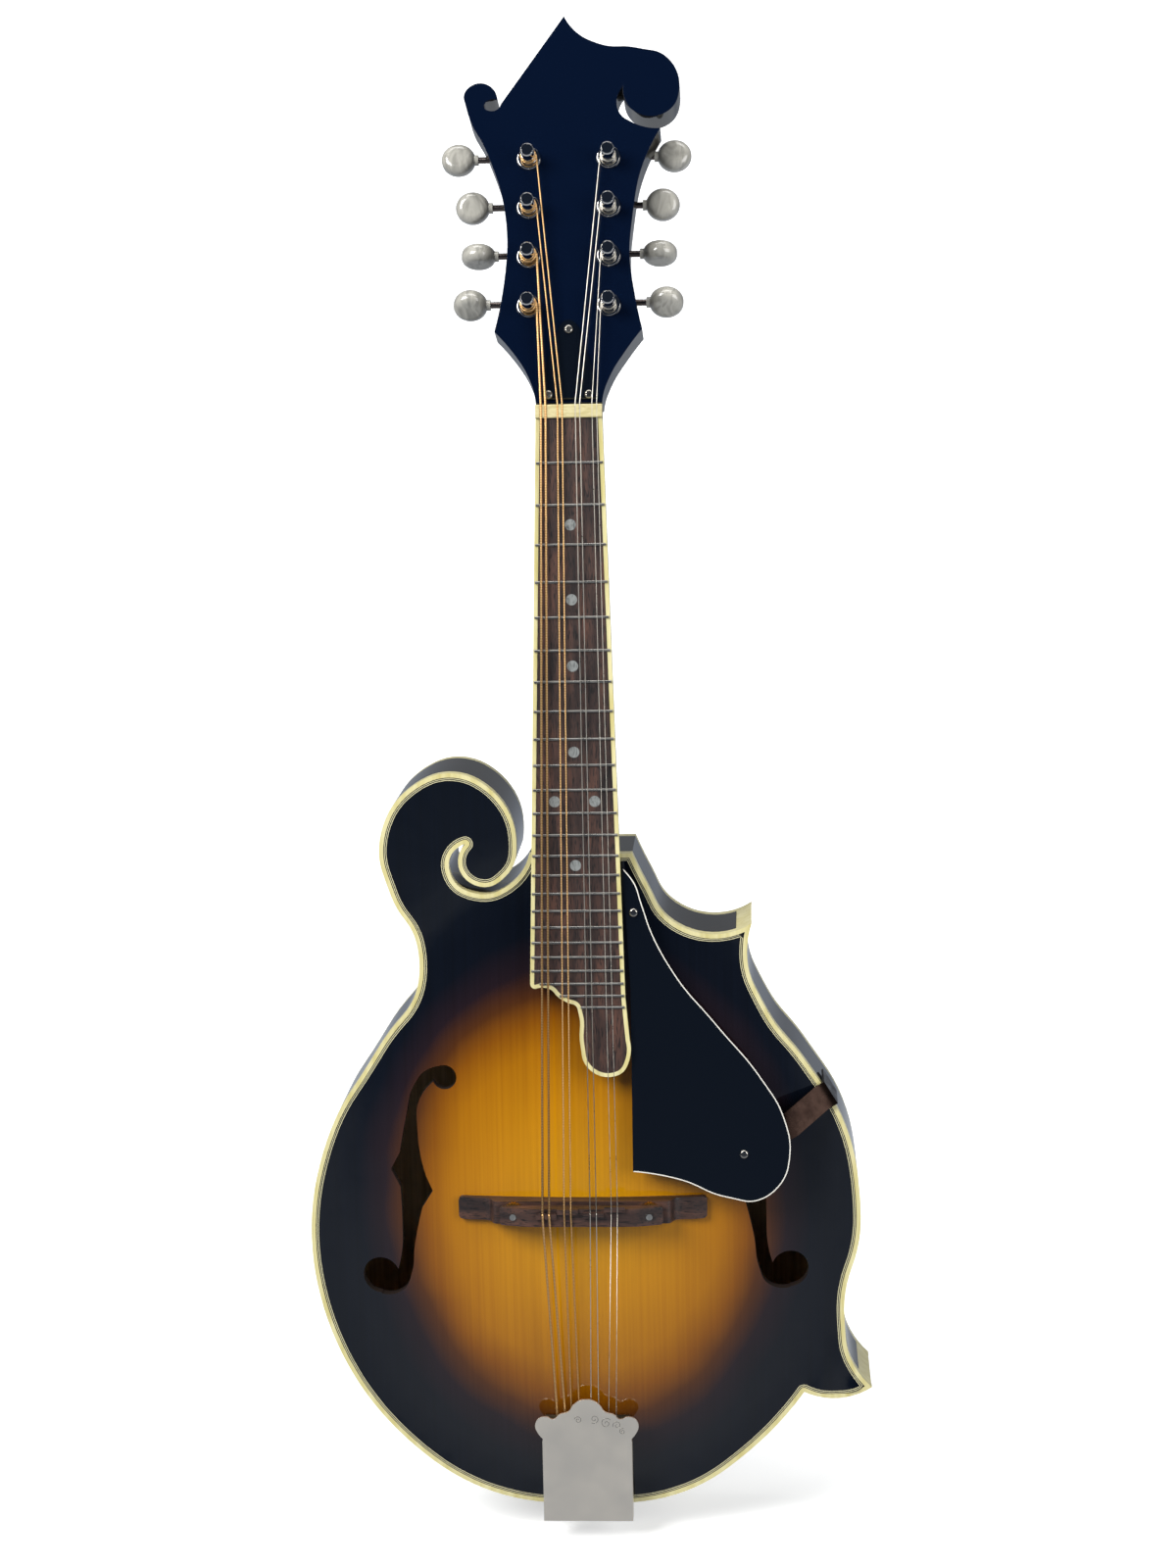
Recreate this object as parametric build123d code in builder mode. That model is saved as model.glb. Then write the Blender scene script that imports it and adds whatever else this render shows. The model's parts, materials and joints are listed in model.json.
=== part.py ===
from build123d import *
from math import atan2, cos, exp, hypot, radians, sin, tan
import os

os.makedirs("parts", exist_ok=True)

# An F-style mandolin, upright. Millimetres. X is to the right as seen from the front,
# Z runs up the neck and the front faces -Y. The origin is the outer face of the end pin,
# and Y = 0 is the middle of the rib depth.

# ---------------------------------------------------------------- driving dimensions
scale_length = 352.0        # nut to twelfth fret, doubled
compensation = 5.5          # string length added at the saddle
body_depth = 46.0           # over both plate edges
neck_pitch = 5.0            # degrees between the fretboard and the rims
head_pitch = 18.0           # degrees between the headstock face and the rims
pin_reach = 14.0            # end pin face to the tail of the body
body_scale = 1.0            # plan size of the body outline

binding_width = 2.0
plate_edge = 5.0            # plate thickness at the glue line, and the binding's height
plate_middle = 4.2          # plate thickness under the arch
arch_rise = 12.0            # top arch above its edge
back_rise = 11.0
recurve_dip = 0.7
glue_margin = 9.0
purfling_width = 1.8
purfling_depth = 1.0
rib_thickness = 2.3
lining_width = 6.0
lining_height = 7.0

joint_z = 326.0             # where the neck meets the body
board_rise = 10.3           # fretboard face in front of the body edge at the joint
board_thickness = 5.0
board_half_nut = 14.8
board_half_end = 21.6       # half width at fret 24
board_binding = 1.8
fret_count = 24
fret_width = 1.1
fret_height = 0.9
fret_tang_width = 0.5
fret_tang_depth = 1.6
nut_thickness = 6.0
nut_rise = 1.4              # nut top above the fretboard face
neck_depth_nut = 15.0
neck_depth_body = 19.0
rod_radius = 2.4
rod_depth = 11.0            # axis below the fretboard face
rod_gap = 0.3

overlay_thickness = 2.0
head_thickness = 15.0       # wood behind the overlay
station_pitch = 22.8        # tuner spacing along the headstock
first_station = 45.0        # lowest post above the nut's upper edge
post_x = 17.9
post_radius = 3.1
post_height = 12.5          # above the headstock face
post_foot_radius = 2.3      # step that passes the plate and carries the wheel
bushing_radius = 5.5
bushing_wall = 1.1
running_gap = 0.06
tuner_plate = 1.2
wheel_radius = 4.9
wheel_teeth = 14
wheel_thickness = 4.0
worm_radius = 2.0
mesh_gap = 0.12
shaft_radius = 1.45
lug_thickness = 1.6
lug_reach = 5.6             # lug middle from the post axis
button_size = (15.4, 14.6, 8.4)
# Button centres out from the middle line, lowest station first: bass side, treble side.
button_reach = {-1: (45.9, 42.3, 45.0, 51.6), 1: (43.0, 40.2, 41.6, 47.0)}
button_turn = (50.0, 78.0, 8.0, -6.0)

bridge_z = 163.0
base_half = 57.0
base_thickness = 10.5
base_height = 7.6           # at the studs
stud_x = 31.0
stud_radius = 1.5
thumbwheel_radius = 5.2
thumbwheel_thickness = 2.4
saddle_half = 37.2
saddle_thickness = 8.4
string_action = 3.4         # string above the fretboard plane at the saddle

tail_plate = 1.2
tail_half = 19.6
cover_rise = 13.4           # cover face in front of the body edge
cover_sheet = 1.0
pin_radius = 4.4
pin_neck_radius = 3.6

guard_thickness = 2.0
guard_drop = 2.6            # pickguard face behind the fretboard face
guard_gap = 0.6
hole_shift = (-0.4, -1.2)

string_gauges = (1.0, 1.0, 0.66, 0.66, 0.41, 0.41, 0.28, 0.28)
string_nut_x = (-12.3, -10.2, -4.9, -2.8, 3.0, 5.0, 10.4, 12.5)
string_bridge_x = (-17.2, -14.2, -7.4, -4.4, 4.4, 7.2, 14.0, 16.8)
string_tail_x = (-13.4, -9.6, -7.2, -3.4, 1.6, 5.2, 9.6, 13.2)

# ---------------------------------------------------------------- worked out from them
front = -body_depth / 2
back = body_depth / 2
board_length = scale_length * (1 - 2 ** (-fret_count / 12))
crown_z = bridge_z + 2.5
nut_z = crown_z + (scale_length + compensation) * cos(radians(neck_pitch))
nut_y = front - board_rise + (nut_z - joint_z) * tan(radians(neck_pitch))

# Board plane: origin at the nut's lower edge on the board face, local y up the neck.
board_plane = Plane((0, nut_y, nut_z), x_dir=(1, 0, 0),
                    z_dir=(0, -cos(radians(neck_pitch)), sin(radians(neck_pitch))))
head_foot_y = nut_y + nut_thickness * sin(radians(neck_pitch)) + board_thickness - overlay_thickness
head_plane = Plane((0, head_foot_y, nut_z + nut_thickness * cos(radians(neck_pitch))),
                   x_dir=(1, 0, 0),
                   z_dir=(0, -cos(radians(head_pitch)), sin(radians(head_pitch))))


def board_y(z):
    """Depth of the fretboard plane at a height on the body or neck."""
    return nut_y - (nut_z - z) * tan(radians(neck_pitch))


def board_half(along):
    """Half width of the fretboard at a distance from the nut."""
    return board_half_nut + (board_half_end - board_half_nut) * along / board_length


def fret_at(number):
    """Distance of a fret from the nut."""
    return scale_length * (1 - 2 ** (-number / 12))


def smooth_arcs(points, start=None, end=None):
    """Draw a smooth line through the points, two tangent arcs to each span."""
    spots = [Vector(*point) for point in points]
    ways = []
    for before, here, after in zip(spots, spots[1:], spots[2:]):
        one, two = here - before, after - here
        ways.append((one.normalized() * two.length + two.normalized() * one.length).normalized())

    def carried_on(way, chord):
        along = chord.normalized()
        return along * (2 * way.dot(along)) - way

    first = Vector(*start).normalized() if start else carried_on(ways[0], spots[1] - spots[0])
    last = Vector(*end).normalized() if end else carried_on(ways[-1], spots[-1] - spots[-2])
    ways = [first, *ways, last]
    for a, b, way_a, way_b in zip(spots, spots[1:], ways, ways[1:]):
        chord, both = b - a, way_a + way_b
        spread = 2 * (1 - way_a.dot(way_b))
        if spread < 1e-9:
            reach = chord.dot(chord) / (4 * chord.dot(way_b))
        else:
            reach = (chord.dot(both) ** 2 + spread * chord.dot(chord)) ** 0.5
            reach = (reach - chord.dot(both)) / spread
        near, far = a + way_a * reach, b - way_b * reach
        middle = (near + far) / 2
        for p, q, way in ((a, middle, way_a), (middle, b, (far - near).normalized())):
            if abs(way.cross(q - p).Z) < 1e-6 * (q - p).length:
                Line(p, q)
            else:
                TangentArc(p, q, tangent=way)


def on_body(points):
    """Place outline points of the body, measured from its tail."""
    return [(x * body_scale, pin_reach + z * body_scale) for x, z in points]


# ---------------------------------------------------------------- body outline
# Points are measured from the tail of the body. The neck joint closes the outline.
slot_mouth = (-21.6 * body_scale, joint_z)
treble_shoulder = (25.0 * body_scale, joint_z)
slot_end = (-50.5, 317)
treble_point = (78.6, 279.3)
lower_point = (132.2, 58.2)
lower_notch = (100.8, 55.8)
slot_edge = [slot_mouth, *on_body([(-29, 299.5), (-44, 293.6), (-56.5, 300.5), (-57.5, 311), slot_end])]
bass_side = on_body([
    slot_end, (-54, 308), (-43, 297), (-31, 303.5), (-27.4, 321), (-35, 338.5), (-55, 349.5),
    (-78, 340.5), (-89.8, 316), (-85, 293), (-74, 271), (-73.5, 254), (-94, 220.5),
    (-116, 184), (-127, 137), (-121, 91), (-94, 41.5), (-50, 8), (0, 0)])
treble_tail = on_body([(0, 0), (50, 9), (78, 29.5), lower_notch])
lower_horn = on_body([lower_notch, (116, 52.8), lower_point])
treble_side = on_body([
    lower_point, (122.5, 72), (119.6, 92), (127.4, 141), (119, 188), (103, 214), (85.5, 238),
    (76.5, 262), treble_point])
upper_horn = [*on_body([treble_point, (57.5, 274.5), (41, 282), (31, 299)]), treble_shoulder]

with BuildSketch(Plane.XZ) as outline:
    with BuildLine():
        smooth_arcs(slot_edge)
        smooth_arcs(bass_side, end=(1, 0))
        smooth_arcs(treble_tail, start=(1, 0))
        smooth_arcs(lower_horn)
        smooth_arcs(treble_side)
        smooth_arcs(upper_horn)
        Line(treble_shoulder, slot_mouth)
    make_face()


def inset(distance):
    """The body outline moved inwards."""
    with BuildSketch(Plane.XZ) as smaller:
        add(outline.sketch_local)
        offset(amount=-distance, kind=Kind.ARC)
    return smaller.sketch_local


inside_binding = inset(binding_width)
inside_purfling = inset(binding_width + purfling_width)
inside_ribs = inset(rib_thickness)
inside_linings = inset(rib_thickness + lining_width)


# ---------------------------------------------------------------- arched surfaces
def arch_height(x, z, rise):
    """Height of a carved plate over its edge: crowned, with a shallow channel near the rim."""
    reach_x = 119.0 * body_scale
    middle_z = pin_reach + 134.0 * body_scale
    reach_z = (172.0 if z > middle_z else 127.0) * body_scale
    away = hypot(x / reach_x, (z - middle_z) / reach_z)
    crown = rise * (1 - away * away) ** 1.5 if away < 1 else 0.0
    return crown - recurve_dip * max(0.0, 1 - ((away - 0.96) / 0.15) ** 2) ** 2


def arch_face(side, rise, edge):
    """A face over the whole body, standing off the plane at edge by the arch height."""
    columns, rows = 34, 44
    grid = []
    for i in range(columns + 1):
        x = (-145 + 290 * i / columns) * body_scale
        zs = [pin_reach + (-15 + 400 * j / rows) * body_scale for j in range(rows + 1)]
        grid.append([Vector(x, edge + side * arch_height(x, z, rise), z) for z in zs])
    return Face.make_surface_from_array_of_points(grid, tol=0.004)


top_face = arch_face(-1, arch_rise, front)
back_face = arch_face(1, back_rise, back)
top_inner_face = arch_face(-1, arch_rise + 2.4, front + plate_middle + 1.4)
back_inner_face = arch_face(1, back_rise + 2.4, back - plate_middle - 1.4)
beyond = 30.0

with BuildPart() as above_top:
    extrude(top_face, amount=beyond, dir=(0, -1, 0))
with BuildPart() as below_top:
    extrude(top_face, amount=beyond, dir=(0, 1, 0))
with BuildPart() as beyond_back:
    extrude(back_face, amount=beyond, dir=(0, 1, 0))
with BuildPart() as under_top:
    extrude(top_inner_face, amount=beyond, dir=(0, 1, 0))
with BuildPart() as under_back:
    extrude(back_inner_face, amount=beyond, dir=(0, -1, 0))
with BuildPart() as cavity:
    with BuildSketch(Plane.XZ.offset(-back - beyond)):
        add(inset(binding_width + glue_margin))
    extrude(amount=body_depth + 2 * beyond)

# ---------------------------------------------------------------- f-holes
upper_eye = (-62.2 + hole_shift[0], 210.4 + hole_shift[1])
lower_eye = (-94.2 + hole_shift[0], 115.0 + hole_shift[1])
upper_eye_radius = 5.6
lower_eye_radius = 8.6


def f_hole(side, lift):
    """One sound hole as a face: side -1 is the bass side, 1 its mirror."""
    def place(points):
        return [(-side * x, z) for x, z in on_body([(x, z + lift) for x, z in points])]

    outer = [(-62.8, 214.5), (-71, 212.2), (-77.4, 204), (-81, 190), (-84.4, 173)]
    outer_low = [(-84.4, 157), (-84, 140), (-84.6, 126), (-87, 116)]
    inner_low = [(-95, 104.8), (-84, 107.5), (-80.2, 116), (-78.3, 130), (-74.3, 147.5)]
    inner = [(-72.2, 162.5), (-75.6, 182), (-74.2, 199), (-66.5, 208)]
    with BuildSketch(Plane.XZ) as hole:
        with BuildLine():
            smooth_arcs(place(outer))
            Line(place(outer)[-1], place([(-88.6, 165.2)])[0])
            Line(place([(-88.6, 165.2)])[0], place(outer_low)[0])
            smooth_arcs(place(outer_low))
            Line(place(outer_low)[-1], place(inner_low)[0])
            smooth_arcs(place(inner_low))
            Line(place(inner_low)[-1], place([(-69.2, 155.6)])[0])
            Line(place([(-69.2, 155.6)])[0], place(inner)[0])
            smooth_arcs(place(inner))
            Line(place(inner)[-1], place(outer)[0])
        make_face()
        for eye, radius in ((upper_eye, upper_eye_radius), (lower_eye, lower_eye_radius)):
            with Locations(*place([eye])):
                Circle(radius)
    return hole.sketch_local


hole_lifts = {-1: 0.0, 1: 3.0}

# ---------------------------------------------------------------- plates
with BuildPart() as soundboard:
    with BuildSketch(Plane.XZ.offset(-front - plate_edge)):
        add(inside_binding)
    extrude(amount=plate_edge + arch_rise + 4)
    add(above_top.part, mode=Mode.SUBTRACT)
    add(under_top.part.intersect(cavity.part), mode=Mode.SUBTRACT)
    with BuildSketch(Plane.XZ.offset(-front - purfling_depth)) as channel:
        add(inside_binding)
        add(inside_purfling, mode=Mode.SUBTRACT)
    extrude(amount=beyond, mode=Mode.SUBTRACT)
    for side, lift in hole_lifts.items():
        with BuildSketch(Plane.XZ):
            add(f_hole(side, lift))
        extrude(amount=2 * beyond, mode=Mode.SUBTRACT)
soundboard.part.label = "soundboard"
export_step(soundboard.part, "parts/soundboard.step")

with BuildPart() as back_plate:
    with BuildSketch(Plane.XZ.offset(-back - back_rise - 4)):
        add(inside_binding)
    extrude(amount=plate_edge + back_rise + 4)
    add(beyond_back.part, mode=Mode.SUBTRACT)
    add(under_back.part.intersect(cavity.part), mode=Mode.SUBTRACT)
back_plate.part.label = "back_plate"
export_step(back_plate.part, "parts/back_plate.step")

# ---------------------------------------------------------------- places on the headstock
stations = [first_station + station_pitch * k for k in range(4)]
worm_rise = wheel_radius + worm_radius + mesh_gap       # worm axis above its post's axis
plate_back = overlay_thickness + head_thickness + tuner_plate
wheel_front = plate_back + 0.4
worm_depth = wheel_front + wheel_thickness / 2          # worm axis behind the face
tuners = [(side, k) for side in (-1, 1) for k in range(4)]
post_foot = wheel_front + wheel_thickness + 1.4


def head_spot(x, rise, depth, z_dir):
    """A plane whose origin lies on the headstock: across, up, and behind its face."""
    return Plane(head_plane.from_local_coords((x, rise, -depth)),
                 x_dir=head_plane.y_dir, z_dir=z_dir)


def rod_spot(along):
    """A plane across the truss rod, its origin on the rod's axis above the nut's lower edge."""
    return Plane(board_plane.from_local_coords((0, along, -rod_depth)),
                 x_dir=(1, 0, 0), z_dir=board_plane.y_dir)


# ---------------------------------------------------------------- small screws
screw_head_radius = 2.0
screw_head_height = 1.2
screw_shank_radius = 0.8
screw_length = 7.0
slot_width = 0.5
cover_thickness = 1.8
cover_screws = [(0, 33.6), (-9, 3.8), (9, 3.8)]
plate_screws = [(side * (post_x + 3.2 * lean), rise)
                for side in (-1, 1)
                for lean, rise in ((0, stations[0] - 8.5), (1, stations[1] - 7), (0, stations[2] - 8.0),
                                   (1, stations[3] - 7), (0, stations[3] + 13))]
leg_screws = [(-9.5, -9.0), (9.5, -9.0), (0, 9.5)]
leg_face = pin_reach - tail_plate
cos_pitch = cos(radians(neck_pitch))
guard_plane = Plane(board_plane.from_local_coords((0, -(nut_z - joint_z) / cos_pitch, -guard_drop)),
                    x_dir=(1, 0, 0), z_dir=board_plane.z_dir)
guard_screws = [(25.6, 301 - joint_z), (74.2 * body_scale, 190.5 - joint_z)]

screw_places = [Plane(head_plane.from_local_coords((x, v, cover_thickness)), x_dir=(1, 0, 0),
                      z_dir=head_plane.z_dir) for x, v in cover_screws]
screw_places += [Plane(head_plane.from_local_coords((x, v, -plate_back)), x_dir=(1, 0, 0),
                       z_dir=-head_plane.z_dir) for x, v in plate_screws]
screw_places += [Plane((x, y, leg_face), x_dir=(1, 0, 0), z_dir=(0, 0, -1)) for x, y in leg_screws]
screw_places += [Plane(guard_plane.from_local_coords((x, v, 0)), x_dir=(1, 0, 0),
                       z_dir=guard_plane.z_dir) for x, v in guard_screws]

with BuildPart() as one_screw:
    Cylinder(screw_head_radius, screw_head_height, align=(Align.CENTER, Align.CENTER, Align.MIN))
    fillet(one_screw.edges().sort_by(Axis.Z)[-1], screw_head_height * 0.8)
    with BuildSketch(Plane.XY.offset(screw_head_height * 0.45)):
        Rectangle(4 * screw_head_radius, slot_width)
    extrude(amount=screw_head_height, mode=Mode.SUBTRACT)
    Cylinder(screw_shank_radius, screw_length, align=(Align.CENTER, Align.CENTER, Align.MAX))
small_screws = Part(children=[], obj=Compound([place.location * one_screw.part.solid()
                                               for place in screw_places]).wrapped)
small_screws.label = "small_screws"
export_step(small_screws, "parts/small_screws.step")
screw_shanks = [place.location * one_screw.part.solid() for place in screw_places]

# ---------------------------------------------------------------- body frame
rib_front = front + plate_edge
rib_back = back - plate_edge
rib_height = rib_back - rib_front
cap_sheet = 1.4
shank_radius = 3.2
shank_depth = 20.0
tenon_half = 11.0
tenon_reach = 14.0

# Caps over the two sharp points, down the corner of the ribs.
with BuildPart() as point_caps:
    for spot, size in ((on_body([treble_point])[0], 8), (on_body([lower_point])[0], 9)):
        with BuildSketch(Plane.XZ.offset(-rib_back)):
            with Locations(spot):
                Circle(size)
            add(outline.sketch_local, mode=Mode.INTERSECT)
            add(inset(cap_sheet), mode=Mode.SUBTRACT)
        extrude(amount=rib_height)
point_caps.part.label = "point_caps"
export_step(point_caps.part, "parts/point_caps.step")

# The neck's tenon and the end pin's shank, as cutting tools and later as solids.
with BuildPart() as tenon:
    with BuildSketch(Plane.XY.offset(joint_z - tenon_reach)):
        Rectangle(2 * tenon_half, rib_height - 6)
    extrude(amount=tenon_reach + 1)
with BuildPart() as pin_shank:
    with BuildSketch(Plane.XY.offset(leg_face)):
        Circle(shank_radius)
    extrude(amount=tail_plate + shank_depth)

with BuildPart() as ribs:
    with BuildSketch(Plane.XZ.offset(-rib_back)):
        add(outline.sketch_local)
        add(inside_ribs, mode=Mode.SUBTRACT)
    extrude(amount=rib_height)
    for tool in (point_caps.part, tenon.part, pin_shank.part, *screw_shanks[13:16]):
        add(tool, mode=Mode.SUBTRACT)
ribs.part.label = "ribs"
export_step(ribs.part, "parts/ribs.step")

with BuildPart() as body_binding:
    for start_y in (rib_front, back):
        with BuildSketch(Plane.XZ.offset(-start_y)):
            add(outline.sketch_local)
            add(inside_binding, mode=Mode.SUBTRACT)
        extrude(amount=plate_edge)
body_binding.part.label = "body_binding"
export_step(body_binding.part, "parts/body_binding.step")

with BuildPart() as top_purfling:
    with BuildSketch(Plane.XZ.offset(-front - purfling_depth)):
        add(inside_binding)
        add(inside_purfling, mode=Mode.SUBTRACT)
    extrude(amount=2 * purfling_depth)
    add(above_top.part, mode=Mode.SUBTRACT)
top_purfling.part.label = "top_purfling"
export_step(top_purfling.part, "parts/top_purfling.step")

# Inner blocks, cut to the inside of the ribs and glued between the plates.
block_boxes = {
    "head_block": [((2, joint_z - 20), (52, 44))],
    "tail_block": [((0, pin_reach + 14), (74, 32))],
    "corner_blocks": [((-58, pin_reach + 330), (64, 62)), ((66, pin_reach + 266), (34, 34)),
                      ((120, pin_reach + 66), (34, 36))],
}
blocks = {}
for name, boxes in block_boxes.items():
    with BuildPart() as block:
        with BuildSketch(Plane.XZ.offset(-rib_back)):
            for middle, size in boxes:
                with Locations(middle):
                    Rectangle(*size)
            add(inside_ribs, mode=Mode.INTERSECT)
        extrude(amount=rib_height)
        if name == "corner_blocks":
            add(blocks["head_block"], mode=Mode.SUBTRACT)
    blocks[name] = block.part

with BuildPart() as linings:
    for start_y in (rib_front + lining_height, rib_back):
        with BuildSketch(Plane.XZ.offset(-start_y)):
            add(inside_ribs)
            add(inside_linings, mode=Mode.SUBTRACT)
        extrude(amount=lining_height)
    for block in blocks.values():
        add(block, mode=Mode.SUBTRACT)
linings.part.label = "linings"
export_step(linings.part, "parts/linings.step")

blocks["head_block"] = blocks["head_block"] - tenon.part
blocks["tail_block"] = blocks["tail_block"] - pin_shank.part
for screw in screw_shanks[13:16]:
    blocks["tail_block"] = blocks["tail_block"] - screw
for name, block in blocks.items():
    block.label = name
    export_step(block, f"parts/{name}.step")

# Tone bars: two braces carved to the inside of the top.
bar_half = 88.0
bar_width = 6.5
bar_depth = 9.0
with BuildPart() as tone_bars:
    for middle, lean in ((-30, 7), (26, -10)):
        bar_plane = Plane((middle * body_scale, front - arch_rise, pin_reach + 138 * body_scale),
                          x_dir=(sin(radians(lean)), 0, cos(radians(lean))), z_dir=(0, 1, 0))
        with BuildSketch(bar_plane):
            Rectangle(2 * bar_half * body_scale, bar_width)
        extrude(amount=plate_middle + bar_depth)
    add(under_top.part, mode=Mode.INTERSECT)
tone_bars.part.label = "tone_bars"
export_step(tone_bars.part, "parts/tone_bars.step")

# ---------------------------------------------------------------- fretboard
board_reach = {22: -17.0, 23: -8.0, 24: 1.4}      # where the frets of the extension begin
board_end = fret_at(22) + 2.2
extension = [(-12.5, -8.4), (-8.6, -4.6), (-4.6, -2.2), (-0.8, -0.6), (0.4, 3.2), (0.9, 17),
             (3, 26), (8, 30.6), (14.4, 31.8), (20, 29.6), (23, 24), (23.2, 15)]
extension = [(-board_half(board_end) + 2.4, -board_end)] + [(x, -board_length - drop)
                                                          for x, drop in extension]
dot_radius = 2.5
dot_depth = 1.2
dots = [(0, 3), (0, 5), (0, 7), (0, 10), (-9, 12), (9, 12), (0, 15)]

with BuildSketch(board_plane) as board_outline:
    with BuildLine():
        smooth_arcs(extension)
        Line(extension[-1], (board_half(board_length - 4), 4 - board_length))
        Line((board_half(board_length - 4), 4 - board_length), (board_half(-9), 9))
        Line((board_half(-9), 9), (-board_half(-9), 9))
        Line((-board_half(-9), 9), (-board_half(board_end - 2.4), 2.4 - board_end))
        TangentArc((-board_half(board_end - 2.4), 2.4 - board_end), extension[0],
                   tangent=(-0.03, -1))
    make_face()
with BuildSketch(board_plane) as board_inside:
    add(board_outline.sketch_local)
    offset(amount=-board_binding, kind=Kind.ARC)
with BuildSketch(board_plane) as below_nut:
    with Locations((0, -board_length)):
        Rectangle(100, 2 * board_length)

with BuildPart() as frets:
    for number in range(1, fret_count + 1):
        along = fret_at(number)
        half = board_half(along)
        begin = board_reach.get(number, 0.5 - half)
        for x_from, x_to, is_tang in ((begin, half - 0.5, False),
                                      (max(begin, board_binding - half), half - board_binding, True)):
            fret_plane = Plane(board_plane.from_local_coords((x_from, -along, 0)),
                               x_dir=board_plane.y_dir, z_dir=(1, 0, 0))
            with BuildSketch(fret_plane):
                if is_tang:
                    with Locations((0, -fret_tang_depth / 2)):
                        Rectangle(fret_tang_width, fret_tang_depth)
                else:
                    with BuildLine():
                        ThreePointArc((-fret_width / 2, 0), (0, fret_height), (fret_width / 2, 0))
                        Line((fret_width / 2, 0), (-fret_width / 2, 0))
                    make_face()
            extrude(amount=x_to - x_from)
frets.part.label = "frets"
export_step(frets.part, "parts/frets.step")

with BuildPart() as inlay_dots:
    with BuildSketch(board_plane.offset(-dot_depth)):
        for x, number in dots:
            with Locations((x, -(fret_at(number) + fret_at(number - 1)) / 2)):
                Circle(dot_radius)
    extrude(amount=dot_depth)
inlay_dots.part.label = "inlay_dots"
export_step(inlay_dots.part, "parts/inlay_dots.step")

with BuildPart() as fretboard:
    with BuildSketch(board_plane.offset(-board_thickness)):
        add(board_inside.sketch_local)
        add(below_nut.sketch_local, mode=Mode.INTERSECT)
    extrude(amount=board_thickness)
    add(inlay_dots.part, mode=Mode.SUBTRACT)
    add(frets.part, mode=Mode.SUBTRACT)
fretboard.part.label = "fretboard"
export_step(fretboard.part, "parts/fretboard.step")

with BuildPart() as fretboard_binding:
    with BuildSketch(board_plane.offset(-board_thickness)):
        add(board_outline.sketch_local)
        add(board_inside.sketch_local, mode=Mode.SUBTRACT)
        add(below_nut.sketch_local, mode=Mode.INTERSECT)
    extrude(amount=board_thickness)
    add(frets.part, mode=Mode.SUBTRACT)
fretboard_binding.part.label = "fretboard_binding"
export_step(fretboard_binding.part, "parts/fretboard_binding.step")

# ---------------------------------------------------------------- nut and strings
head_gap = 0.5
post_string_rise = 4.2      # string above the headstock face at its post
string_lift = 1.1           # underside of a string above the board at the nut
hook_y = front - 7.6        # string line at the tailpiece hooks
hook_z = pin_reach + 35.0
string_clearance = 0.15
bend_radius = 6.0
groove_gap = 0.02
saddle_top = board_y(crown_z) - string_action
# Where each pair crosses the saddle, along the strings from the middle of the crown.
crown_steps = (-1.6, 0.6, -1.2, 1.8)


def board_point(x, along, rise):
    """A point over the fretboard plane in the object's own frame."""
    return board_plane.from_local_coords((x, along, rise))


paths = []
for number, gauge in enumerate(string_gauges):
    radius = gauge / 2
    side, k = (-1, number) if number < 4 else (1, 7 - number)
    x_bridge, x_nut = string_bridge_x[number], string_nut_x[number]
    hook = Vector(string_tail_x[number], hook_y, hook_z + 1.6)
    crown = Vector(x_bridge, saddle_top - radius, crown_z + crown_steps[number // 2])
    low = board_point(x_nut, 0.8, string_lift + radius)
    high = board_point(x_nut, nut_thickness + 0.4, string_lift + radius)
    foot = head_plane.to_local_coords(high)
    hub = Vector(side * post_x, stations[k], 0)
    off = post_radius + radius + string_clearance
    away = hub - Vector(foot.X, foot.Y, 0)
    reach = (away.length ** 2 - off ** 2) ** 0.5
    turn = atan2(away.Y, away.X) + side * atan2(off, reach)
    end = head_plane.from_local_coords((foot.X + reach * cos(turn),
                                        foot.Y + reach * sin(turn), post_string_rise))
    paths.append([hook, crown, low, high, end])

with BuildPart() as strings:
    for points, gauge in zip(paths, string_gauges):
        with BuildLine() as way:
            FilletPolyline(*points, radius=bend_radius)
        with BuildSketch(Plane(way.line @ 0, z_dir=way.line % 0)):
            Circle(gauge / 2)
        sweep(path=way.line)
strings.part.label = "strings"
export_step(strings.part, "parts/strings.step")

with BuildPart() as nut:
    with BuildSketch(board_plane.offset(-board_thickness)):
        with Locations((0, nut_thickness / 2)):
            Rectangle(2 * board_half_nut, nut_thickness)
    extrude(amount=board_thickness + nut_rise)
    fillet(nut.edges().filter_by(Axis.X).sort_by(Axis.Y)[:2], 0.6)
    for points, gauge in zip(paths, string_gauges):
        x = points[2].X
        with BuildSketch(board_plane.offset(string_lift + gauge / 2)):
            with Locations((x, nut_thickness / 2)):
                Rectangle(gauge + 2 * groove_gap, 2 * nut_thickness)
        extrude(amount=nut_rise, mode=Mode.SUBTRACT)
        begin = board_point(x, -1, string_lift + gauge / 2)
        with BuildSketch(Plane(begin, x_dir=(1, 0, 0), z_dir=board_plane.y_dir)):
            Circle(gauge / 2 + groove_gap)
        extrude(amount=nut_thickness + 2, mode=Mode.SUBTRACT)
nut.part.label = "nut"
export_step(nut.part, "parts/nut.step")

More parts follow.
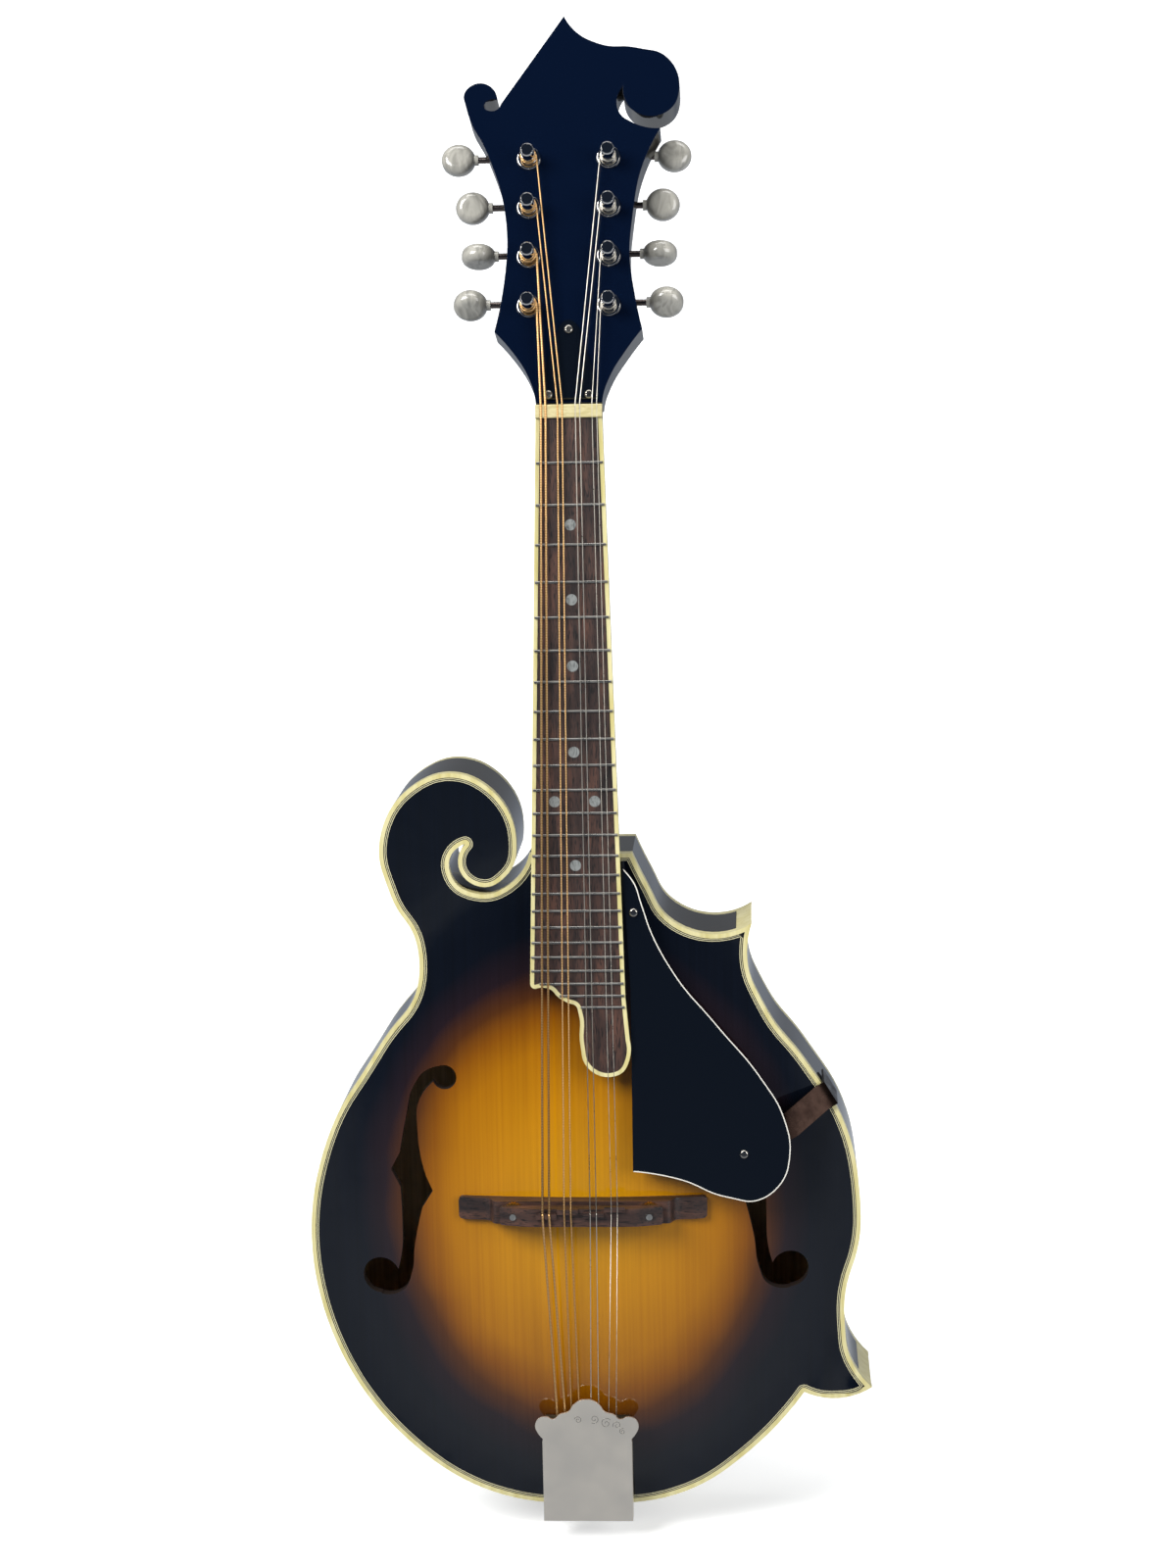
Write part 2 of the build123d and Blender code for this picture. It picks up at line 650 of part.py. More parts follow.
# ---------------------------------------------------------------- headstock
head_right = [(board_half_nut, head_gap), (15.3, 4), (18.6, 13), (25.5, 24.2), (32.7, 33.8)]
head_waist_right = [(32.7, 33.8), (29.4, 50), (27.2, 68), (28.6, 86), (32.4, 107), (41.2, 126.5)]
horn = [(41.2, 126.5), (29.5, 129), (22.8, 134.2), (24.6, 146.4)]
crest = [(24.6, 146.4), (27, 137.2), (36, 132.2), (46, 135.4), (50, 146.5), (43.5, 160.4),
         (31, 164.4), (14, 166.6), (4.4, 171.6), (-2.1, 180)]
curl_in = [(-30.6, 139.2), (-34.4, 136.1), (-38.2, 138.6), (-36, 141.3), (-32.2, 141.2)]
curl_out = [(-32.2, 141.2), (-34.2, 146.6), (-40, 149.3), (-46.6, 145.6), (-45.6, 136),
            (-36.6, 116), (-30, 96), (-27.6, 76), (-29, 56), (-33.3, 33.5)]
head_left = [(-33.3, 33.5), (-26.2, 25.4), (-18.8, 14), (-15.4, 4.4), (-board_half_nut, head_gap)]
cavity_half, cavity_low, cavity_high, cavity_depth = 5.0, 3.0, 27.0, 13.0

with BuildSketch(head_plane) as head_outline:
    with BuildLine():
        for piece in (head_right, head_waist_right, horn, crest):
            smooth_arcs(piece)
        Line(crest[-1], curl_in[0])
        for piece in (curl_in, curl_out, head_left):
            smooth_arcs(piece)
        Line(head_left[-1], head_right[0])
    make_face()
post_spots = [(side * post_x, stations[k]) for side, k in tuners]
sleeve_radius = post_radius + running_gap + bushing_wall

with BuildPart() as bores:
    with BuildSketch(head_plane.offset(-overlay_thickness - head_thickness - 1)):
        with Locations(*post_spots):
            Circle(sleeve_radius)
    extrude(amount=overlay_thickness + head_thickness + 2)
with BuildPart() as rod_pocket:
    with BuildSketch(head_plane.offset(-cavity_depth)):
        with Locations((0, (cavity_low + cavity_high) / 2)):
            SlotOverall(cavity_high - cavity_low, 2 * cavity_half, rotation=90)
    extrude(amount=cavity_depth + 1)

with BuildPart() as headstock_overlay:
    with BuildSketch(head_plane.offset(-overlay_thickness)):
        add(head_outline.sketch_local)
    extrude(amount=overlay_thickness)
    for tool in (bores.part, rod_pocket.part, *screw_shanks[:3]):
        add(tool, mode=Mode.SUBTRACT)
headstock_overlay.part.label = "headstock_overlay"
export_step(headstock_overlay.part, "parts/headstock_overlay.step")

# Truss rod, its brass adjusting nut and the bell-shaped cover over them.
rod_low, rod_high = -0.93 * (nut_z - joint_z), 21.0
rod_nut_radius, rod_nut_low, rod_nut_length = 3.4, 13.0, 9.0
with BuildPart() as truss_rod:
    with BuildSketch(rod_spot(rod_low)):
        Circle(rod_radius)
    extrude(amount=rod_high - rod_low)
truss_rod.part.label = "truss_rod"
export_step(truss_rod.part, "parts/truss_rod.step")

with BuildPart() as truss_rod_nut:
    with BuildSketch(rod_spot(rod_nut_low)):
        RegularPolygon(rod_nut_radius, 6)
        Circle(rod_radius + running_gap, mode=Mode.SUBTRACT)
    extrude(amount=rod_nut_length)
truss_rod_nut.part.label = "truss_rod_nut"
export_step(truss_rod_nut.part, "parts/truss_rod_nut.step")

bell_side = [(13.2, 1.8), (11.6, 6.5), (10.8, 14), (8.4, 22), (5.2, 28), (4.6, 34), (0, 38)]
with BuildPart() as truss_rod_cover:
    with BuildSketch(head_plane):
        with BuildLine():
            smooth_arcs(bell_side, end=(-1, 0))
            smooth_arcs([(-x, v) for x, v in reversed(bell_side)], start=(-1, 0))
            Line((-bell_side[0][0], bell_side[0][1]), bell_side[0])
        make_face()
    extrude(amount=cover_thickness)
    chamfer(truss_rod_cover.faces().sort_by(Axis.Y)[0].edges(), 0.4)
    for tool in screw_shanks[:3]:
        add(tool, mode=Mode.SUBTRACT)
truss_rod_cover.part.label = "truss_rod_cover"
export_step(truss_rod_cover.part, "parts/truss_rod_cover.step")

# ---------------------------------------------------------------- neck
riser_half = 17.0
riser_length = 60.0
neck_length = nut_z - joint_z
heel_fade = 18.0
neck_rises = [0, 6, 12, 18, 25, 34, 46, 62]
neck_steps = 6


def neck_top(z):
    """Depth of the neck's glue face under the fretboard."""
    return board_y(z) + board_thickness / cos_pitch


def neck_depth(rise):
    """Thickness of the neck behind the fretboard: a taper, and the heel's swell at the joint."""
    taper = (neck_depth_nut - neck_depth_body) * min(1.0, rise / neck_length)
    swell = back - neck_top(joint_z) - neck_depth_body
    return neck_depth_body + taper + swell * exp(-(rise / heel_fade) ** 2)


shaft_length = neck_length + nut_thickness * cos_pitch - neck_rises[-1]
neck_rises += [neck_rises[-1] + shaft_length * (k + 1) / neck_steps for k in range(neck_steps)]

# The neck's extension over the body, shaped underneath to the arch of the top.
with BuildPart() as riser:
    with BuildSketch(Plane.YZ.offset(-riser_half)):
        with BuildLine():
            Polyline((front + 2, joint_z), (neck_top(joint_z), joint_z),
                     (neck_top(joint_z - riser_length), joint_z - riser_length),
                     (front + 2, joint_z - riser_length), (front + 2, joint_z))
        make_face()
    extrude(amount=2 * riser_half)
    add(below_top.part, mode=Mode.SUBTRACT)

with BuildPart() as neck:
    for rise in neck_rises:
        z, depth = joint_z + rise, neck_depth(rise)
        half = board_half(max(0.0, (nut_z - z) / cos_pitch))
        top = neck_top(z)
        with BuildSketch(Plane.XY.offset(z)):
            with BuildLine():
                Spline((-half, top), (-0.9 * half, top + 0.42 * depth), (-0.52 * half, top + 0.84 * depth),
                       (0, top + depth), (0.52 * half, top + 0.84 * depth),
                       (0.9 * half, top + 0.42 * depth), (half, top))
                Line((half, top), (-half, top))
            make_face()
    loft()
    with BuildSketch(head_plane.offset(-overlay_thickness - head_thickness)):
        add(head_outline.sketch_local)
    extrude(amount=head_thickness)
    add(riser.part)
    add(tenon.part)
    with BuildSketch(rod_spot(rod_low)):
        Circle(rod_radius + rod_gap)
    extrude(amount=rod_high - rod_low + 6, mode=Mode.SUBTRACT)
    for tool in (bores.part, rod_pocket.part, nut.part, headstock_overlay.part, body_binding.part,
                 top_purfling.part, *screw_shanks[:13]):
        add(tool, mode=Mode.SUBTRACT)
neck.part.label = "neck"
export_step(neck.part, "parts/neck.step")

# ---------------------------------------------------------------- tuners
flange = 1.3
with BuildPart() as tuner_bushings:
    with BuildSketch(head_plane):
        with Locations(*post_spots):
            Circle(bushing_radius)
    extrude(amount=flange, taper=20)
    with BuildSketch(head_plane.offset(-8)):
        with Locations(*post_spots):
            Circle(sleeve_radius)
    extrude(amount=8)
    with BuildSketch(head_plane.offset(-9)):
        with Locations(*post_spots):
            Circle(post_radius + running_gap)
    extrude(amount=12, mode=Mode.SUBTRACT)
tuner_bushings.part.label = "tuner_bushings"
export_step(tuner_bushings.part, "parts/tuner_bushings.step")

plate_half = 5.4
lug_half = 2.3
plate_front = plate_back - tuner_plate
with BuildPart() as tuner_plates:
    with BuildSketch(head_plane.offset(-plate_back)):
        for side in (-1, 1):
            with Locations((side * post_x, (stations[0] + stations[3]) / 2 + 2.0)):
                RectangleRounded(2 * plate_half, stations[3] - stations[0] + 32, 2.5)
        for x, rise in post_spots:
            with Locations((x, rise + worm_rise)):
                RectangleRounded(2 * lug_reach + 3, 2 * lug_half + 1.4, 1.2)
    extrude(amount=tuner_plate)
    with BuildSketch(head_plane.offset(-worm_depth - lug_half)):
        for x, rise in post_spots:
            with Locations((x - lug_reach, rise + worm_rise), (x + lug_reach, rise + worm_rise)):
                Rectangle(lug_thickness, 2 * lug_half)
    extrude(amount=worm_depth + lug_half - plate_front - tuner_plate / 2)
    with BuildSketch(head_plane.offset(-plate_back - 1)):
        with Locations(*post_spots):
            Circle(post_foot_radius + running_gap)
    extrude(amount=tuner_plate + 2, mode=Mode.SUBTRACT)
    for x, rise in post_spots:
        with BuildSketch(head_spot(x - 2 * lug_reach, rise + worm_rise, worm_depth, (1, 0, 0))):
            Circle(shaft_radius + running_gap)
        extrude(amount=4 * lug_reach, mode=Mode.SUBTRACT)
    for tool in screw_shanks[3:13]:
        add(tool, mode=Mode.SUBTRACT)
tuner_plates.part.label = "tuner_plates"
export_step(tuner_plates.part, "parts/tuner_plates.step")

button_bore = 4.0
post_end_gap = 0.1
ring_pitch = 1.3
for side, k in tuners:
    name = f"{'bass' if side < 0 else 'treble'}_{k + 1}"
    x, rise = side * post_x, stations[k]
    post_start = plate_front - post_end_gap

    with BuildPart() as post:
        with BuildSketch(head_plane.offset(-post_start)):
            with Locations((x, rise)):
                Circle(post_radius)
        extrude(amount=post_start + post_height)
        chamfer(post.edges().sort_by(Axis(head_plane.origin, head_plane.z_dir))[-1], 0.5)
        with BuildSketch(head_plane.offset(-post_foot)):
            with Locations((x, rise)):
                Circle(post_foot_radius)
        extrude(amount=post_foot - post_start)
        with BuildSketch(head_plane.offset(-post_foot)):
            with Locations((x, rise)):
                Circle(post_foot_radius + 0.9)
        extrude(amount=post_foot - wheel_front - wheel_thickness)
        with BuildSketch(head_spot(x - 2 * post_radius, rise, -8.5, (1, 0, 0))):
            Circle(0.8)
        extrude(amount=4 * post_radius, mode=Mode.SUBTRACT)
    with BuildPart() as wheel:
        with BuildSketch(head_plane.offset(-wheel_front - wheel_thickness)):
            with Locations((x, rise)):
                Circle(wheel_radius)
                Circle(post_foot_radius, mode=Mode.SUBTRACT)
                with PolarLocations(wheel_radius + 0.1, wheel_teeth):
                    Circle(0.55, mode=Mode.SUBTRACT)
        extrude(amount=wheel_thickness)
    string_post = Compound(children=[post.part, wheel.part])
    string_post.label = f"string_post_{name}"
    export_step(string_post, f"parts/string_post_{name}.step")

    reach = button_reach[side][k]
    inner_end = x - side * (lug_reach + lug_thickness / 2 + 1.2)
    shaft_length = abs(side * reach - inner_end) + button_bore
    spin = (side, 0, 0)
    with BuildPart() as worm_shaft:
        with BuildSketch(head_spot(inner_end, rise + worm_rise, worm_depth, spin)):
            Circle(shaft_radius)
        extrude(amount=shaft_length)
        half_worm = lug_reach - lug_thickness / 2 - 0.1
        with BuildSketch(head_spot(x - side * half_worm, rise + worm_rise, worm_depth, spin)):
            Circle(worm_radius)
        extrude(amount=2 * half_worm)
        for step in (-2, -1, 0, 1, 2):
            ring = head_spot(x + side * (step * ring_pitch - 0.3), rise + worm_rise, worm_depth, spin)
            with BuildSketch(ring):
                Circle(worm_radius)
                Circle(shaft_radius, mode=Mode.SUBTRACT)
            extrude(amount=0.6, mode=Mode.SUBTRACT)
        collar = head_spot(inner_end, rise + worm_rise, worm_depth, spin)
        with BuildSketch(collar):
            Circle(worm_radius + 0.2)
        extrude(amount=1.1)
    worm_shaft.part.label = f"worm_shaft_{name}"
    export_step(worm_shaft.part, f"parts/worm_shaft_{name}.step")

    button_middle = head_plane.from_local_coords((side * reach, rise + worm_rise, -worm_depth))
    faced = Plane(button_middle, x_dir=(1, 0, 0), z_dir=head_plane.z_dir)
    with BuildPart() as tuner_button:
        with BuildSketch(faced.rotated((button_turn[k], 0, 0))):
            Ellipse(button_size[0] / 2, button_size[1] / 2)
        extrude(amount=button_size[2] / 2, both=True)
        fillet(tuner_button.edges(), button_size[2] * 0.42)
        with BuildSketch(head_spot(side * (reach - button_size[0] / 2 + 0.6), rise + worm_rise,
                                   worm_depth, (-side, 0, 0))):
            Circle(2.4)
        extrude(amount=2.0)
        add(worm_shaft.part, mode=Mode.SUBTRACT)
    tuner_button.part.label = f"tuner_button_{name}"
    export_step(tuner_button.part, f"parts/tuner_button_{name}.step")

# ---------------------------------------------------------------- bridge
def top_y(x, z=bridge_z):
    """Outer face of the soundboard."""
    return front - arch_height(x, z, arch_rise)


base_top = top_y(stud_x) - base_height
wheel_gap = 0.05
saddle_foot = base_top - wheel_gap - thumbwheel_thickness - wheel_gap
stud_end = saddle_foot - 4.6
wing = 3.2
contour = [(38.5, base_top), (42, top_y(44) - wing - 1.4), (49, top_y(50) - wing),
           (base_half, top_y(base_half) - wing + 0.6)]

with BuildPart() as bridge_base:
    with BuildSketch(Plane.XY.offset(bridge_z - base_thickness / 2)):
        with BuildLine():
            Line((-contour[0][0], base_top), contour[0])
            Spline(*contour, tangents=[(1, 0), (1, 0.2)])
            Line(contour[-1], (base_half, front + 1))
            Line((base_half, front + 1), (-base_half, front + 1))
            Line((-base_half, front + 1), (-contour[-1][0], contour[-1][1]))
            Spline(*[(-x, y) for x, y in reversed(contour)], tangents=[(1, -0.2), (1, 0)])
        make_face()
    extrude(amount=base_thickness)
    fillet(bridge_base.edges().filter_by(Axis.Y), 2.0)
    add(below_top.part, mode=Mode.SUBTRACT)
    for x in (-stud_x, stud_x):
        with BuildSketch(Plane.XZ.offset(-base_top - 4)):
            with Locations((x, bridge_z)):
                Circle(stud_radius)
        extrude(amount=20, mode=Mode.SUBTRACT)
bridge_base.part.label = "bridge_base"
export_step(bridge_base.part, "parts/bridge_base.step")

with BuildPart() as bridge_studs:
    with BuildSketch(Plane.XZ.offset(-base_top - 4)):
        with Locations((-stud_x, bridge_z), (stud_x, bridge_z)):
            Circle(stud_radius)
    extrude(amount=base_top + 4 - stud_end)
bridge_studs.part.label = "bridge_studs"
export_step(bridge_studs.part, "parts/bridge_studs.step")

for side, name in ((-1, "bass"), (1, "treble")):
    with BuildPart() as thumbwheel:
        with BuildSketch(Plane.XZ.offset(-base_top + wheel_gap)):
            with Locations((side * stud_x, bridge_z)):
                Circle(thumbwheel_radius)
                Circle(stud_radius + running_gap, mode=Mode.SUBTRACT)
                with PolarLocations(thumbwheel_radius + 0.15, 24):
                    Circle(0.35, mode=Mode.SUBTRACT)
        extrude(amount=thumbwheel_thickness)
    thumbwheel.part.label = f"thumbwheel_{name}"
    export_step(thumbwheel.part, f"parts/thumbwheel_{name}.step")

ridge = 2.4
ridge_rise = 1.5
with BuildPart() as bridge_saddle:
    with BuildSketch(Plane.XY.offset(bridge_z - saddle_thickness / 2)):
        with BuildLine():
            Line((-saddle_half, saddle_foot), (saddle_half, saddle_foot))
            Line((saddle_half, saddle_foot), (saddle_half, saddle_foot - 2.2))
            Spline((saddle_half, saddle_foot - 2.2), (25, saddle_top + ridge_rise + 0.3),
                   (18, saddle_top + ridge_rise), tangents=[(-1, -0.2), (-1, 0)])
            Line((18, saddle_top + ridge_rise), (-18, saddle_top + ridge_rise))
            Spline((-18, saddle_top + ridge_rise), (-25, saddle_top + ridge_rise + 0.3),
                   (-saddle_half, saddle_foot - 2.2), tangents=[(-1, 0), (-1, 0.2)])
            Line((-saddle_half, saddle_foot - 2.2), (-saddle_half, saddle_foot))
        make_face()
    extrude(amount=saddle_thickness)
    fillet(bridge_saddle.edges().filter_by(Axis.Y), 1.5)
    for pair, step in enumerate(crown_steps):
        inner = (string_bridge_x[2 * pair] + string_bridge_x[2 * pair + 1]) / 2
        with BuildSketch(Plane.XZ.offset(-saddle_top - ridge_rise - 0.5)):
            with Locations((inner, crown_z + step)):
                Rectangle(9.4, ridge)
        extrude(amount=ridge_rise + 0.5)
    for x in (-stud_x, stud_x):
        with BuildSketch(Plane.XZ.offset(-saddle_foot - 1)):
            with Locations((x, bridge_z)):
                Circle(stud_radius + running_gap)
        extrude(amount=saddle_foot + 1 - stud_end + 0.2, mode=Mode.SUBTRACT)
    add(strings.part, mode=Mode.SUBTRACT)
bridge_saddle.part.label = "bridge_saddle"
export_step(bridge_saddle.part, "parts/bridge_saddle.step")

# ---------------------------------------------------------------- tailpiece and end pin
plate_y = hook_y + 1.3                     # face of the tailpiece base under the strings
plate_top = hook_z + 12
leg_bottom = 13.5                          # how far the leg runs towards the back
cover_y = front - cover_rise
hook_radius = 0.9
flange_gap = 0.2

with BuildPart() as tailpiece_base:
    with BuildSketch(Plane.XZ.offset(-plate_y - tail_plate)):
        with Locations((0, (leg_face + plate_top) / 2)):
            Rectangle(2 * tail_half, plate_top - leg_face)
    extrude(amount=tail_plate)
    with BuildSketch(Plane.XY.offset(leg_face)):
        with BuildLine():
            Polyline((-tail_half, plate_y), (tail_half, plate_y), (tail_half, front + 4),
                     (13, leg_bottom), (-13, leg_bottom), (-tail_half, front + 4),
                     (-tail_half, plate_y))
        make_face()
    extrude(amount=tail_plate)
    with BuildSketch(Plane.XZ.offset(-plate_y)):
        for x in string_tail_x:
            with Locations((x, hook_z)):
                Circle(hook_radius)
    extrude(amount=2.4)
    for tool in (pin_shank.part, *screw_shanks[13:16]):
        add(tool, mode=Mode.SUBTRACT)
tailpiece_base.part.label = "tailpiece_base"
export_step(tailpiece_base.part, "parts/tailpiece_base.step")

cloud = [(20.6, 52.0), (22.6, 54.4), (24.0, 58.4), (22.4, 61.8), (18.8, 62.8), (15.6, 61.6),
         (12.4, 64.0), (8.6, 65.2), (5.8, 68.8), (2.8, 70.8), (0, 71.2)]
with BuildPart() as tailpiece_cover:
    with BuildSketch(Plane.XZ.offset(-cover_y - cover_sheet)):
        with BuildLine():
            smooth_arcs(cloud, end=(-1, 0))
            smooth_arcs([(-x, z) for x, z in reversed(cloud)], start=(-1, 0))
            Polyline((-cloud[0][0], cloud[0][1]), (-tail_half - flange_gap - cover_sheet, 50.4),
                     (-tail_half - flange_gap - cover_sheet, leg_face - 1.2),
                     (tail_half + flange_gap + cover_sheet, leg_face - 1.2),
                     (tail_half + flange_gap + cover_sheet, 50.4), cloud[0])
        make_face()
    extrude(amount=cover_sheet)
    for side in (-1, 1):
        with BuildSketch(Plane.XZ.offset(-plate_y - 0.8)):
            with Locations((side * (tail_half + flange_gap + cover_sheet / 2),
                            (leg_face - 1.2 + 49) / 2)):
                Rectangle(cover_sheet, 49 - leg_face + 1.2)
        extrude(amount=plate_y + 0.8 - cover_y)
tailpiece_cover.part.label = "tailpiece_cover"
export_step(tailpiece_cover.part, "parts/tailpiece_cover.step")

pin_profile = [(0, 0), (2.6, 0), (pin_radius, 1.4), (pin_radius, 3.4), (3.0, 5.2), (2.7, 7.4),
               (pin_neck_radius, 9.6), (5.0, 11.0), (5.0, leg_face), (shank_radius, leg_face),
               (shank_radius, leg_face + tail_plate + shank_depth),
               (0, leg_face + tail_plate + shank_depth), (0, 0)]
with BuildPart() as end_pin:
    with BuildSketch(Plane.XZ):
        with BuildLine():
            Polyline(*pin_profile)
        make_face()
    revolve(axis=Axis.Z)
end_pin.part.label = "end_pin"
export_step(end_pin.part, "parts/end_pin.step")

# ---------------------------------------------------------------- pickguard
guard_edge_x = 23.2 + guard_gap
guard_top = [(board_half_nut + 6.2, -5), (25.8, -11), (29.6, -22), (33.2, -33), (44.4, -54), (62.6, -76.4),
             (81.4, -99.4), (91.6, -116.5), (95.2, -134), (91.4, -148.4), (80, -157), (66, -155.4),
             (44, -147), (guard_edge_x, -143.5)]
strip_half = 6.0
strip_sheet = 1.0
side_gap = 0.5
screw_x, screw_rise = guard_screws[1]
back_spot = guard_plane.from_local_coords((screw_x, screw_rise, -guard_thickness))
lead = Vector(0.857, 0, 0.515).normalized()
toward_rim = Edge.make_line((back_spot.X, 0, back_spot.Z), Vector(back_spot.X, 0, back_spot.Z) + lead * 120)
rim_reach = sum(edge.length for edge in toward_rim.intersect(outline.sketch).edges())

with BuildPart() as pickguard:
    with BuildSketch(guard_plane.offset(-guard_thickness)):
        with BuildLine():
            smooth_arcs(guard_top)
            Line(guard_top[-1], (guard_edge_x, -60))
            Line((guard_edge_x, -60), guard_top[0])
        make_face()
    extrude(amount=guard_thickness)
    for tool in screw_shanks[16:18]:
        add(tool, mode=Mode.SUBTRACT)
pickguard.part.label = "pickguard"
export_step(pickguard.part, "parts/pickguard.step")

# Bent strip from under the pickguard over the rim and down the side, with its clamp block.
strip_plane = Plane((back_spot.X, 0, back_spot.Z), x_dir=lead, z_dir=lead.cross(Vector(0, 1, 0)))
level = back_spot.Y + 0.6
fall = lead.Z * tan(radians(neck_pitch))        # the strip follows the tilted pickguard
edge_at = rim_reach + side_gap
with BuildPart() as pickguard_bracket:
    with BuildSketch(strip_plane.offset(-strip_half)):
        with BuildLine():
            outer = [(-7, level - 7 * fall), (25, level + 25 * fall), (edge_at - 4, front - 2.4),
                     (edge_at + strip_sheet, front - 2.4), (edge_at + strip_sheet, front + 20)]
            inner = [(edge_at, front + 20), (edge_at, front - 1.3), (edge_at - 4.4, front - 1.3),
                     (24.6, level + 25 * fall + strip_sheet),
                     (-7, level - 7 * fall + strip_sheet)]
            Polyline(*outer, *inner, outer[0])
        make_face()
    extrude(amount=2 * strip_half)
    for tool in screw_shanks[16:18]:
        add(tool, mode=Mode.SUBTRACT)
pickguard_bracket.part.label = "pickguard_bracket"
export_step(pickguard_bracket.part, "parts/pickguard_bracket.step")
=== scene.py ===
"""Finishes an F-style mandolin: lacquered woods, bound edges, strings, tuners and plated hardware."""
import json
import math

import bmesh
import bpy
from mathutils import Matrix, Vector


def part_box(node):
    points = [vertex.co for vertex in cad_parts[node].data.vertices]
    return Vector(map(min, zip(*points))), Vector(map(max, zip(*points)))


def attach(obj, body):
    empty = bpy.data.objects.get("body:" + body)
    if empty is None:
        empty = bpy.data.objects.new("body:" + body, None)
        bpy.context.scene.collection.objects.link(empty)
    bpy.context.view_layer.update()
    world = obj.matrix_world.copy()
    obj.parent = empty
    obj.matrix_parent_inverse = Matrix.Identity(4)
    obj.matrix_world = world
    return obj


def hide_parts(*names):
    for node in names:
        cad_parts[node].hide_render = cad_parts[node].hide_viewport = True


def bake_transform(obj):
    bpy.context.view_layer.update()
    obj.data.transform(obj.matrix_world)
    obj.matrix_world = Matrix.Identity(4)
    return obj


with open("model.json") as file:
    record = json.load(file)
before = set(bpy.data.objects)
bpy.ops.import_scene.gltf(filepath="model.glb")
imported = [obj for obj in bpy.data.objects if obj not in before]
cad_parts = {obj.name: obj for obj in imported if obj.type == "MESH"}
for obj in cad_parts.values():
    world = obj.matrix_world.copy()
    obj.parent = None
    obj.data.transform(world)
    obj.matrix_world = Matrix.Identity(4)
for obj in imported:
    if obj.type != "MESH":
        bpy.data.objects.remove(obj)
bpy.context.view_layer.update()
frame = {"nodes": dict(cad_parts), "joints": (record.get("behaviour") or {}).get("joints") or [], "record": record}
RECORD = frame["record"]
BODY_OF = {node: body for body, nodes in RECORD["behaviour"]["bodies"].items() for node in nodes}
SLOT_OF = {part["node"]: part["material_slot"] for part in RECORD["subparts"]}
JOINTS = {joint["name"]: joint for joint in frame["joints"]}
PEGS = [f"{side}_{k}" for side in ("bass", "treble") for k in (1, 2, 3, 4)]
MM = 0.001

bl_info = {
    "name": "Sunburst Mandolin",
    "version": (1, 0, 0),
    "blender": (4, 5, 0),
    "location": "3D View > Sidebar > Mandolin",
    "description": "Finishes the pieces of an F-style mandolin and sets its studio",
    "category": "Object",
}


# ------------------------------------------------------------------ small helpers
def linear(code, alpha=1.0):
    """An sRGB hex colour as linear values."""
    parts = [int(code[i:i + 2], 16) / 255 for i in (1, 3, 5)]
    return tuple(c / 12.92 if c <= 0.04045 else ((c + 0.055) / 1.055) ** 2.4 for c in parts) + (alpha,)


def add_node(tree, kind, inputs=None, stops=None, **settings):
    """Adds a node. inputs maps sockets to values or to another node's output; stops fill a ramp."""
    node = tree.nodes.new(kind)
    for key, value in settings.items():
        setattr(node, key, value)
    for key, value in (inputs or {}).items():
        if isinstance(value, bpy.types.NodeSocket):
            tree.links.new(value, node.inputs[key])
        else:
            node.inputs[key].default_value = value
    if stops:
        band = node.color_ramp
        while len(band.elements) < len(stops):
            band.elements.new(1.0)
        for element, (place, colour) in zip(band.elements, stops):
            element.position = place
            element.color = linear(colour)
    return node


def new_finish(name, colour, roughness, metallic=0.0, coat=0.0, coat_roughness=0.03, ior=None):
    """A material with its plain values on the shader's own sockets."""
    finish = bpy.data.materials.get(name)
    if finish:
        return finish, None, None
    finish = bpy.data.materials.new(name)
    finish.use_nodes = True
    tree = finish.node_tree
    shader = tree.nodes["Principled BSDF"]
    shader.inputs["Base Color"].default_value = linear(colour)
    shader.inputs["Roughness"].default_value = roughness
    shader.inputs["Metallic"].default_value = metallic
    shader.inputs["Coat Weight"].default_value = coat
    shader.inputs["Coat Roughness"].default_value = coat_roughness
    if coat == 1.0:
        # Under lacquer the only gloss is the lacquer's own.
        shader.inputs["Specular IOR Level"].default_value = 0.0
    if ior:
        shader.inputs["IOR"].default_value = ior
    return finish, tree, shader


def places(tree, scale=(1, 1, 1), shift=(0, 0, 0), turn=(0, 0, 0)):
    """Object coordinates in metres, scaled and moved."""
    where = add_node(tree, "ShaderNodeTexCoord")
    return add_node(tree, "ShaderNodeMapping", {"Vector": where.outputs["Object"], "Scale": scale,
                                                "Location": shift, "Rotation": turn}).outputs[0]


def bumped(tree, shader, height, strength, distance, coat=False):
    """Joins a height to the shader's normal."""
    bump = add_node(tree, "ShaderNodeBump", {"Height": height, "Strength": strength,
                                             "Distance": distance})
    tree.links.new(bump.outputs[0], shader.inputs["Normal"])
    if coat:
        tree.links.new(bump.outputs[0], shader.inputs["Coat Normal"])


def deselect():
    if bpy.context.object and bpy.context.object.mode != "OBJECT":
        bpy.ops.object.mode_set(mode="OBJECT")
    bpy.ops.object.select_all(action="DESELECT")


def take(obj):
    """Makes obj the only selected and the active object."""
    deselect()
    obj.select_set(True)
    bpy.context.view_layer.objects.active = obj
    return obj


def apply_all(obj):
    take(obj)
    for modifier in list(obj.modifiers):
        bpy.ops.object.modifier_apply(modifier=modifier.name)


def finished(obj, body, slot, *finishes):
    """Names the body and the materials of a new piece. The slot is not used."""
    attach(obj, body)
    if finishes:
        obj.data.materials.clear()
        for finish in finishes:
            obj.data.materials.append(finish)
    return obj


